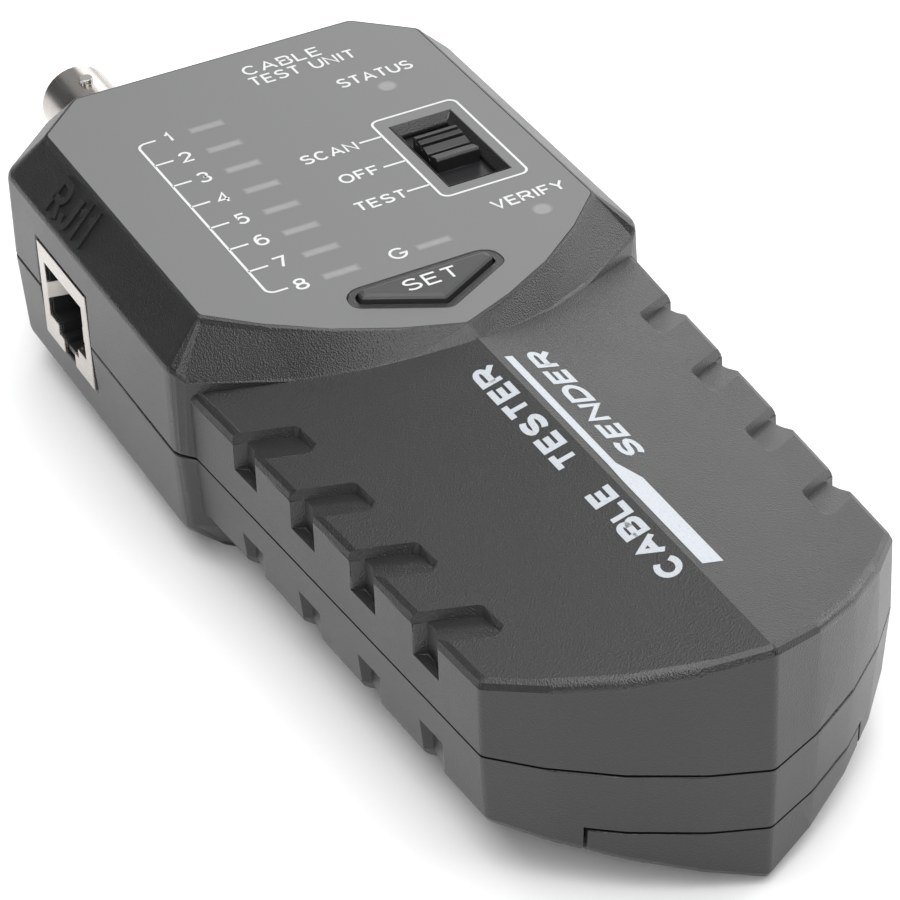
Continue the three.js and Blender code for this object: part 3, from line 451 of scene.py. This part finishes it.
def rounded(node_name, width, least_angle=16.0, least_length=0.6, segments=2, crease=16.0,
            long_width=None):
    """A copy of a CAD part with rounded outside edges; widths in millimetres.
    long_width, where given, is for the long edges away from the parting line."""
    wide = long_width or width
    bm = bmesh.new()
    bm.from_mesh(NODES[node_name].data)
    bmesh.ops.remove_doubles(bm, verts=bm.verts, dist=2e-6)
    bmesh.ops.dissolve_limit(bm, angle_limit=math.radians(0.06), verts=bm.verts, edges=bm.edges)
    bm.normal_update()
    weight = bm.edges.layers.float.new("bevel_weight_edge")
    chosen = set()
    for e in bm.edges:
        if len(e.link_faces) != 2 or e.calc_length() < least_length * MM:
            continue
        if e.calc_face_angle(0.0) > math.radians(least_angle) and in_open_air(e):
            chosen.add(e)
    # a round slides along the edges that it meets, so they limit how wide it can be
    def wanted(e):
        furthest = max(abs(v.co.z - PARTING) for v in e.verts)
        long_and_clear = e.calc_length() >= LONG_EDGE * MM and furthest >= SEAM_MARGIN * MM
        return wide if long_and_clear else width

    def room(e):
        most = AMPLE
        for v in e.verts:
            along = (e.other_vert(v).co - v.co).normalized()
            for other in v.link_edges:
                if other is not e:
                    away = (other.other_vert(v).co - v.co).normalized()
                    angle = along.angle(away, 1.57)
                    share = math.tan(angle / 2) if other in chosen else math.sin(angle)
                    most = min(most, other.calc_length() / MM * min(1.0, share))
        return min(most, breadth[e])

    # and on a narrow flat, such as the rim round the plate, two rounds share the width
    def across(e):
        a, b = e.verts[0].co, e.verts[1].co
        most = AMPLE
        for f in e.link_faces:
            for other in f.edges:
                if other.verts[0] in e.verts or other.verts[1] in e.verts:
                    continue
                c, d = other.verts[0].co, other.verts[1].co
                for share in (0.1, 0.5, 0.9):
                    spot = a.lerp(b, share)
                    near, t = geometry.intersect_point_line(spot, c, d)
                    near = c.lerp(d, min(1.0, max(0.0, t)))
                    most = min(most, (spot - near).length / MM)
        return most

    breadth = {e: across(e) for e in chosen}

    cramped = True
    while cramped:
        cramped = {e for e in chosen if SHARE * room(e) < LEAST_ROUND}
        chosen -= cramped
    size = {e: min(wanted(e), SHARE * room(e)) for e in chosen}
    for e in bm.edges:
        e[weight] = size[e] / wide if e in chosen else 0.0
        e.smooth = e in chosen or e.calc_face_angle(0.0) < math.radians(crease)
    for f in bm.faces:
        f.smooth = True
    count = len(chosen)
    mesh = bpy.data.meshes.new(node_name + "_soft")
    bm.to_mesh(mesh)
    bm.free()
    work = helper(node_name + "_work", mesh)
    for colour in (casing, nickel):
        mesh.materials.append(colour)
    bevel = work.modifiers.new("edges", "BEVEL")
    bevel.limit_method = "WEIGHT"
    bevel.width = wide * MM
    bevel.segments = segments
    bevel.use_clamp_overlap = False
    bevel.miter_outer = "MITER_SHARP"
    bevel.material = 1
    strips = plain(work)
    hold_flats(strips, crease)
    # the round strips: polished in the plastic finish, and lightened there in colour as a painted highlight
    polish = strips.attributes.new("edge", "FLOAT", "CORNER")
    for face in strips.polygons:
        if face.material_index == 1:
            for corner in face.loop_indices:
                polish.data[corner].value = 1.0
            face.material_index = 0
    strips.materials.clear()
    print(node_name, "edges rounded:", count, "faces:", len(strips.polygons))
    return strips


def add(name, mesh, material, body, slot, *stands_for):
    """Puts a finished piece on its body, with its finish and the part it stands for."""
    mesh.materials.clear()
    mesh.materials.append(material)
    piece = helper(name, mesh)
    mesh.name = name
    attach(piece, body)
    if stands_for:
        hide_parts(*stands_for)
    return piece


# %% The two halves of the case and the battery door
for name, stands_for in (("case_top", "top_shell"), ("case_bottom", "bottom_shell")):
    half = rounded(stands_for, 0.22, segments=3, long_width=0.4)
    add(name, half, casing, "case", "casing", stands_for)
add("door", rounded("battery_door", 0.22), casing, "door", "casing", "battery_door")

# %% The label plate, set button and slide switch
add("label_plate", rounded("face_plate", 0.10), label_film, "case", "label", "face_plate")
cap = rounded("set_button", 0.22, least_length=0.3)
add("button_cap", cap, key_plastic, "button", "button", "set_button")
knob = rounded("switch_knob", 0.09, least_length=0.1)
add("slide_knob", knob, black_plastic, "knob", "black_plastic", "switch_knob")

# %% [markdown]
# ## Printing
#
# The label is screen printed: a thin film of white ink that stands a few hundredths
# of a millimetre proud. Its type is plain drafting type with strokes of one width, so
# each letter is drawn here as a few strokes in a unit box, and each stroke becomes a
# closed ribbon. A word is then set between two corners, as on the real label. Every
# stroke is a hair thicker than the one before, so no two top faces share a plane.

# %% Thin solids in millimetres
INK_THICKNESS = 0.03
FACE_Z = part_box("face_plate")[1].z / MM


def solid(points, faces):
    """A mesh from points in millimetres, its faces turned outwards."""
    mesh = bpy.data.meshes.new("solid")
    mesh.from_pydata([tuple(c * MM for c in p) for p in points], [], faces)
    bm = bmesh.new()
    bm.from_mesh(mesh)
    bmesh.ops.recalc_face_normals(bm, faces=bm.faces)
    bm.to_mesh(mesh)
    bm.free()
    return mesh


def joined(parts):
    """Several (points, faces) as one."""
    points, faces = [], []
    for more_points, more_faces in parts:
        first = len(points)
        points += more_points
        faces += [[first + i for i in f] for f in more_faces]
    return points, faces


# %% Lines as ribbons with mitred corners
MITRE = 0.6


def ribbon(path, width, z, thickness=INK_THICKNESS, closed=False):
    """A flat line of one width along a path; MITRE keeps its sharp corners short."""
    n = len(path)
    left, right_side = [], []
    for i, (x, y) in enumerate(path):
        before = path[i - 1] if i or closed else None
        after = path[(i + 1) % n] if i < n - 1 or closed else None
        a = Vector((x - before[0], y - before[1])).normalized() if before else None
        b = Vector((after[0] - x, after[1] - y)).normalized() if after else None
        a, b = a or b, b or a
        across = Vector((-(a + b).y, (a + b).x)).normalized()
        reach = width / 2 / max(MITRE, across.dot(Vector((-a.y, a.x))))
        left.append((x + across.x * reach, y + across.y * reach))
        right_side.append((x - across.x * reach, y - across.y * reach))
    points = [(*p, z + dz) for dz in (0.0, thickness) for side in (left, right_side) for p in side]
    faces = []
    for i in range(n if closed else n - 1):
        j = (i + 1) % n
        faces += [[2 * n + i, 3 * n + i, 3 * n + j, 2 * n + j], [i, j, n + j, n + i],
                  [i, 2 * n + i, 2 * n + j, j], [n + i, n + j, 3 * n + j, 3 * n + i]]
    if not closed:
        faces += [[0, n, 3 * n, 2 * n], [n - 1, 3 * n - 1, 4 * n - 1, 2 * n - 1]]
    return points, faces


def arc(cx, cy, rx, ry, start, end, steps=8):
    return [(cx + rx * math.cos(math.radians(start + (end - start) * i / steps)),
             cy + ry * math.sin(math.radians(start + (end - start) * i / steps))) for i in range(steps + 1)]


def corner(cx, cy, radius, start, end, steps=6):
    return arc(cx, cy, radius, radius, start, end, steps)


# %% Letters as strokes: width against height, then the strokes in a unit box
LETTERS = {
    "A": (0.74, [[(0, 0), (0.5, 1), (1, 0)], [(0.18, 0.34), (0.82, 0.34)]]),
    "B": (0.62, [[(0, 0.53), (0, 1), *arc(0.6, 0.765, 0.34, 0.235, 90, -90),
                  (0, 0.53), (0, 0), *arc(0.62, 0.265, 0.38, 0.265, -90, 90)]]),
    "C": (0.70, [arc(0.5, 0.5, 0.5, 0.5, 42, 318, 16)]),
    "D": (0.68, [[(0, 0.5), (0, 1), *arc(0.45, 0.5, 0.55, 0.5, 90, -90, 12), (0, 0), (0, 0.5)]]),
    "E": (0.56, [[(1, 1), (0, 1), (0, 0), (1, 0)], [(0, 0.52), (0.88, 0.52)]]),
    "F": (0.54, [[(1, 1), (0, 1), (0, 0)], [(0, 0.5), (0.85, 0.5)]]),
    "G": (0.74, [[*arc(0.5, 0.5, 0.5, 0.5, 45, 345, 16), (1, 0.44), (0.56, 0.44)]]),
    "I": (0.10, [[(0.5, 0), (0.5, 1)]]),
    "J": (0.46, [[(1, 1), *arc(0.5, 0.3, 0.5, 0.3, 0, -180)]]),
    "L": (0.52, [[(0, 1), (0, 0), (1, 0)]]),
    "N": (0.66, [[(0, 0), (0, 1), (1, 0), (1, 1)]]),
    "O": (0.76, [arc(0.5, 0.5, 0.5, 0.5, 0, 360, 20)]),
    "R": (0.66, [[(0, 0), (0, 1), *arc(0.62, 0.74, 0.36, 0.26, 90, -90), (0, 0.48)], [(0.55, 0.48), (1, 0)]]),
    "S": (0.62, [[*arc(0.5, 0.755, 0.46, 0.245, 28, 255, 9), *arc(0.5, 0.255, 0.5, 0.255, 75, -152, 9)]]),
    "T": (0.60, [[(0, 1), (1, 1)], [(0.5, 1), (0.5, 0)]]),
    "U": (0.66, [[(0, 1), *arc(0.5, 0.38, 0.5, 0.38, 180, 360), (1, 1)]]),
    "V": (0.70, [[(0, 1), (0.5, 0), (1, 1)]]),
    "Y": (0.68, [[(0, 1), (0.5, 0.46), (1, 1)], [(0.5, 0.46), (0.5, 0)]]),
    "1": (0.30, [[(0, 0.72), (0.45, 0.8), (0.8, 1), (0.8, 0)]]),
    "2": (0.54, [[*arc(0.5, 0.7, 0.47, 0.3, 165, -30, 9), (0, 0), (1, 0)]]),
    "3": (0.54, [[*arc(0.46, 0.755, 0.42, 0.245, 155, -80, 9), *arc(0.46, 0.265, 0.5, 0.265, 80, -155, 9)]]),
    "4": (0.58, [[(0.74, 0), (0.74, 1), (0, 0.3), (1, 0.3)]]),
    "5": (0.54, [[(0.9, 1), (0.2, 1), (0.1, 0.5), *arc(0.48, 0.33, 0.48, 0.33, 130, -150, 10)]]),
    "6": (0.54, [arc(0.5, 0.32, 0.5, 0.32, 0, 360, 14), arc(0.56, 0.5, 0.56, 0.5, 200, 62, 7)]),
    "7": (0.54, [[(0, 1), (1, 1), (0.38, 0)]]),
    "8": (0.54, [arc(0.5, 0.76, 0.42, 0.24, 0, 360, 14), arc(0.5, 0.26, 0.5, 0.26, 0, 360, 14)]),
    " ": (0.30, []),
}
LETTER_GAP = 0.27


def lettering(text, length, height, stroke, thickness=INK_THICKNESS):
    """Words in a flat box from (0, 0) to (length, height) in millimetres: (points, faces)."""
    advance = [LETTERS[c][0] for c in text]
    gap = LETTER_GAP if len(text) > 1 else 0.0
    scale = (length - stroke) / (sum(advance) + gap * (len(text) - 1))
    parts, start = [], stroke / 2
    for c, width in zip(text, advance):
        for path in LETTERS[c][1]:
            placed = [(start + x * width * scale, stroke / 2 + y * (height - stroke)) for x, y in path]
            loop = placed[0] == placed[-1] or (Vector(placed[0]) - Vector(placed[-1])).length < 1e-6
            depth = thickness + 0.0015 * len(parts)
            parts.append(ribbon(placed[:-1] if loop else placed, stroke, 0.0, depth, closed=loop))
        start += (width + gap) * scale
    return joined(parts)


def word(text, x0, y0, x1, y1, z=None, stroke=0.33):
    """A printed word that fills its box on the label."""
    base = FACE_Z if z is None else z
    points, faces = lettering(text, x1 - x0, y1 - y0, stroke)
    return [(x0 + u, y0 + v, base + w) for u, v, w in points], faces


# %% Words and numbers on the label
LAMP_PITCH = 5.61
FIRST_LAMP_Y = 46.44
words = [
    word("SCAN", -1.25, 31.19, 6.47, 33.4), word("OFF", 0.875, 24.66, 6.4, 26.84),
    word("TEST", -0.25, 17.9, 6.81, 20.03), word("STATUS", 11.06, 45.9, 21.66, 48.2),
    word("VERIFY", 14.4, 9.7, 24.5, 11.9), word("G", -1.5, 5.97, 0.87, 8.4),
    word("CABLE", 1.75, 55.2, 12.9, 57.55), word("TEST UNIT", 1.4, 52.2, 16.6, 54.55),
]
for i in range(8):
    y = FIRST_LAMP_Y - LAMP_PITCH * i
    x0, x1 = (-13.7, -12.75) if i == 0 else (-14.16, -12.41)
    words.append(word(str(i + 1), x0, y - 1.25, x1, y + 1.25, stroke=0.35))
add("label_words", solid(*joined(words)), white_ink, "case", "label")

# %% Lines on the label: bracket, switch frame and pointers
LINE = 0.33
BRACKET_X, BRACKET_TOP, BRACKET_LOW, BRACKET_END = -17.6, 46.44, 7.16, -15.0
bracket = ([(BRACKET_END, BRACKET_TOP)]
           + corner(BRACKET_X + 1.1, BRACKET_TOP - 1.1, 1.1, 90, 180)
           + corner(BRACKET_X + 1.1, BRACKET_LOW + 1.1, 1.1, 180, 270)
           + [(BRACKET_END, BRACKET_LOW)])
FRAME_BOX = (10.22, 15.56, 22.22, 36.25)
fx0, fy0, fx1, fy1 = FRAME_BOX
switch_frame = (corner(fx1 - 1.1, fy1 - 1.1, 1.1, 0, 90) + corner(fx0 + 1.1, fy1 - 1.1, 1.1, 90, 180)
                + corner(fx0 + 1.1, fy0 + 1.1, 1.1, 180, 270) + corner(fx1 - 1.1, fy0 + 1.1, 1.1, 270, 360))
lines = [ribbon(bracket, LINE, FACE_Z), ribbon(switch_frame, LINE, FACE_Z, closed=True)]
lines += [ribbon([(x, y), (10.1, y)], LINE, FACE_Z) for x, y in ((6.95, 32.5), (7.0, 25.77), (6.97, 19.17))]
add("label_lines", solid(*joined(lines)), white_ink, "case", "label")

# %% [markdown]
# ## Rows of the same thing
#
# The bracket's ticks and the lamp windows stand in straight rows. One Geometry Nodes
# tree serves both: it puts points on a line, sets a copy of one part on each, makes
# the copies real and gives them their finish.

# %% The row tree
ROW = bpy.data.node_groups.new("row of parts", "GeometryNodeTree")
ROW.interface.new_socket("Geometry", in_out="INPUT", socket_type="NodeSocketGeometry")
row_socket = {}
for label, kind in (("Part", "Object"), ("Count", "Int"), ("Start", "Vector"),
                    ("Step", "Vector"), ("Finish", "Material")):
    socket = ROW.interface.new_socket(label, in_out="INPUT", socket_type="NodeSocket" + kind)
    row_socket[label] = socket.identifier
ROW.interface.new_socket("Geometry", in_out="OUTPUT", socket_type="NodeSocketGeometry")
given = ROW.nodes.new("NodeGroupInput").outputs
out = ROW.nodes.new("NodeGroupOutput").inputs
line_node = ROW.nodes.new("GeometryNodeMeshLine")
part_node = ROW.nodes.new("GeometryNodeObjectInfo")
copies = ROW.nodes.new("GeometryNodeInstanceOnPoints")
realise = ROW.nodes.new("GeometryNodeRealizeInstances")
paint = ROW.nodes.new("GeometryNodeSetMaterial")
for a, b in ((given["Count"], line_node.inputs["Count"]), (given["Start"], line_node.inputs["Start Location"]),
             (given["Step"], line_node.inputs["Offset"]), (given["Part"], part_node.inputs["Object"]),
             (line_node.outputs["Mesh"], copies.inputs["Points"]),
             (part_node.outputs["Geometry"], copies.inputs["Instance"]),
             (copies.outputs["Instances"], realise.inputs["Geometry"]),
             (realise.outputs["Geometry"], paint.inputs["Geometry"]),
             (given["Finish"], paint.inputs["Material"]), (paint.outputs["Geometry"], out["Geometry"])):
    ROW.links.new(a, b)


def row(part_mesh, count, start, step, material):
    """A row of copies as one plain mesh; start and step in millimetres."""
    part = helper("row_part", part_mesh)
    host = helper("row_host", bpy.data.meshes.new("row_host"))
    maker = host.modifiers.new("row", "NODES")
    maker.node_group = ROW
    for label, value in (("Part", part), ("Count", count), ("Start", tuple(v * MM for v in start)),
                         ("Step", tuple(v * MM for v in step)), ("Finish", material)):
        maker[row_socket[label]] = value
    made = plain(host)
    bpy.data.objects.remove(part)
    print("row of", count, "->", len(made.polygons), "faces")
    return made


# %% Ticks of the bracket
tick = solid(*ribbon([(0.0, 0.0), (BRACKET_END - BRACKET_X, 0.0)], LINE, 0.0))
ticks = row(tick, 6, (BRACKET_X, BRACKET_TOP - LAMP_PITCH, FACE_Z), (0, -LAMP_PITCH, 0), white_ink)
add("label_ticks", ticks, white_ink, "case", "label")


# %% Lamp windows: soft-rimmed pads
def window(half_x, half_y, radius, z0=0.0, thickness=0.02, steps=5):
    """A flat pad whose attribute 'core' is 1 inside and 0 at its rim."""
    def outline(shrink):
        hx, hy, r = half_x - shrink, half_y - shrink, max(0.05, radius - shrink)
        return (corner(hx - r, hy - r, r, 0, 90, steps) + corner(-hx + r, hy - r, r, 90, 180, steps)
                + corner(-hx + r, -hy + r, r, 180, 270, steps) + corner(hx - r, -hy + r, r, 270, 360, steps))
    # each rim: how far in from the outline, its height, and its value of core
    rims = [(0.0, z0, 0.0), (0.0, z0 + thickness * 0.3, 0.0),
            (0.25, z0 + thickness * 0.9, 0.35), (0.55, z0 + thickness, 1.0)]
    points, core_values = [], []
    for shrink, z, value in rims:
        ring = outline(min(shrink, min(half_x, half_y) * 0.8))
        points += [(x, y, z) for x, y in ring]
        core_values += [value] * len(ring)
    n = len(points) // len(rims)
    faces = [[k * n + i, k * n + (i + 1) % n, (k + 1) * n + (i + 1) % n, (k + 1) * n + i]
             for k in range(len(rims) - 1) for i in range(n)]
    faces += [list(range(n))[::-1], [(len(rims) - 1) * n + i for i in range(n)]]
    mesh = solid(points, faces)
    values = mesh.attributes.new("core", "FLOAT", "POINT")
    for i, value in enumerate(core_values):
        values.data[i].value = value
    return mesh


bar_low, bar_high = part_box("lamp_bar_1")
bar_mid = (bar_low + bar_high) / 2 / MM
BAR_PITCH = 5.6
windows = row(window(2.56, 0.88, 0.25), 8, (bar_mid.x, bar_mid.y, FACE_Z), (0, -BAR_PITCH, 0), lens)
add("lamp_windows", windows, lens, "case", "lens")
for name, half_x, half_y, radius in (
        ("lamp_bar_ground", 2.48, 0.82, 0.25), ("lamp_status", 1.44, 1.44, 1.43),
        ("lamp_verify", 1.44, 1.44, 1.43)):
    low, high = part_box(name)
    mid = (low + high) / 2 / MM
    pad = window(half_x, half_y, radius)
    pad.transform(Matrix.Translation((mid.x * MM, mid.y * MM, FACE_Z * MM)))
    add(name + "_window", pad, lens, "case", "lens")

# %% [markdown]
# ## Words on the button, the handle and the jack's mark
#
# The word on the button is printed on its flat top and moves with it. The handle's
# words run along its slope, so their points are lifted to the roof. The jack's mark
# is moulded into the bevel beside it, as raised letters in the case's own plastic.

# %% Button word
button_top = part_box("set_button")[1].z / MM
button_word = word("SET", -3.5, -1.98, 3.75, 0.52, z=button_top, stroke=0.33)
add("button_word", solid(*button_word), white_ink, "button", "button")

# %% Handle words and the flared line between them
ROOF_TOP, ROOF_FALL = 33.5, 0.245


def roof(x):
    """The height of the handle's ridged top at x."""
    return ROOF_TOP - ROOF_FALL * abs(x)


def handle_word(text, x0, y0, x1, y1, stroke=0.74):
    """Reads from tail to head, with the letter tops towards -X."""
    points, faces = lettering(text, y1 - y0, x1 - x0, stroke)
    return [(x1 - v, y0 + u, roof(x1 - v) + w) for u, v, w in points], faces


def flat_shape(outline, lift):
    """A thin plate over an outline, lifted to the roof."""
    n = len(outline)
    points = [(x, y, roof(x) + dz) for dz in (0.0, lift) for x, y in outline]
    faces = [list(range(n)), [n + i for i in range(n)][::-1]]
    faces += [[i, (i + 1) % n, n + (i + 1) % n, n + i] for i in range(n)]
    return points, faces


stripe = flat_shape([(1.0, -17.4), (1.0, -41.6), (0.88, -45.15), (0.88, -62.4),
                     (3.5, -62.4), (3.5, -45.15), (2.04, -41.6), (2.04, -17.4)], INK_THICKNESS)
handle_print = joined([
    handle_word("CABLE", -3.81, -62.4, -0.85, -44.6), handle_word("TESTER", -3.81, -39.6, -0.85, -17.65),
    handle_word("SENDER", 3.7, -40.65, 6.85, -16.9), stripe])
add("handle_print", solid(*handle_print), handle_ink, "case", "casing")

# %% Raised mark on the left bevel
BEVEL_LOW, BEVEL_HIGH = Vector((-31.6, 29.2)), Vector((-27.15, 33.65))
bevel_out = Vector((-1.0, 1.0)).normalized()


def on_bevel(along, up_slope, lift):
    """A point on the left bevel: place along Y, share of the slope, height off it."""
    across = BEVEL_LOW + (BEVEL_HIGH - BEVEL_LOW) * up_slope + bevel_out * lift
    return (across.x, along, across.y)


MARK_LENGTH, MARK_HEIGHT, MARK_RELIEF = 11.6, 5.5, 0.40
glyph_points, glyph_faces = lettering("RJ11", MARK_LENGTH, MARK_HEIGHT, 0.95, MARK_RELIEF)
mark = [on_bevel(45.7 - u, 0.06 + 0.88 * v / MARK_HEIGHT, -0.05 + w) for u, v, w in glyph_points]
add("jack_mark", solid(mark, glyph_faces), casing, "case", "casing")

# %% [markdown]
# ## Jacks, battery and inner parts
#
# The two jacks are the only bright metal on the outside. The modular jack is a
# stamped nickel shield round a black insert, with gold spring contacts. Inner parts
# have finishes too, for when the door slides off. The contacts keep their CAD shape.

# %% Modular jack and bayonet jack
add("jack_frame", rounded("jack_shield", 0.10, least_length=0.3), nickel,
    "case", "nickel", "jack_shield")
add("jack_block", rounded("jack_insert", 0.08, least_length=0.3), black_plastic,
    "case", "black_plastic", "jack_insert")
shell = rounded("bayonet_jack_body", 0.12, least_length=0.2)
add("bayonet_shell", shell, nickel, "case", "nickel", "bayonet_jack_body")
core_piece = rounded("bayonet_jack_insulator", 0.10, least_length=0.1)
add("bayonet_core", core_piece, insulator_plastic, "case", "insulator", "bayonet_jack_insulator")

# %% [markdown]
# ## Earthing springs of the modular jack
#
# A thin plated spring lies along each side wall of the opening, to touch the shield
# of the plug. It starts at the frame with a small lead-in and bows towards the plug.
# Its metal is duller than the frame's, so it shows pale inside the dark opening.

# %% Earthing springs
jack_low, jack_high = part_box("jack_shield")
jack_mid = (jack_low + jack_high) / 2 / MM
STRIP_LOW, STRIP_HIGH, STRIP_THICK = jack_mid.z - 0.8, jack_mid.z + 1.5, 0.11
# distance in from the frame's face, and from the middle of the opening, in millimetres
STRIP_RUN = ((0.03, 5.85), (0.22, 5.80), (0.55, 5.74), (2.6, 5.30),
             (3.2, 5.24), (3.8, 5.30), (6.3, 5.70), (6.8, 5.74))


def spring(side):
    """One bowed strip: side is 1 for the wall towards the head, -1 for the other."""
    points = []
    for inward, inner in STRIP_RUN:
        x, outer = jack_low.x / MM + inward, inner + STRIP_THICK
        for y, z in ((inner, STRIP_LOW), (inner, STRIP_HIGH), (outer, STRIP_HIGH), (outer, STRIP_LOW)):
            points.append((x, jack_mid.y + side * y, z))
    last = 4 * (len(STRIP_RUN) - 1)
    faces = [[0, 1, 2, 3], [last, last + 1, last + 2, last + 3]]
    for ring in range(0, last, 4):
        for i in range(4):
            j = (i + 1) % 4
            faces.append([ring + i, ring + j, ring + 4 + j, ring + 4 + i])
    return points, faces


springs = solid(*joined([spring(1), spring(-1)]))
add("jack_springs", springs, spring_metal, "case", "nickel")
print("earthing springs from z", round(STRIP_LOW, 2), "to", round(STRIP_HIGH, 2))

# %% Battery
add("battery_cell", rounded("battery", 0.5), wrap, "case", "battery_wrap", "battery")

# %% Finishes of the CAD parts that keep their own shape
FINISH_OF_SLOT = {
    "casing": casing, "label": label_film, "button": key_plastic, "black_plastic": black_plastic,
    "nickel": nickel, "steel": steel, "gold": gold, "insulator": insulator_plastic,
    "board": board_lacquer, "lens": lens, "battery_wrap": wrap, "red_wire": red_sleeve,
}
for entry in frame["record"]["subparts"]:
    part = NODES[entry["node"]]
    part.data.materials.clear()
    part.data.materials.append(FINISH_OF_SLOT[entry["material_slot"]])
print("CAD parts painted:", len(NODES))
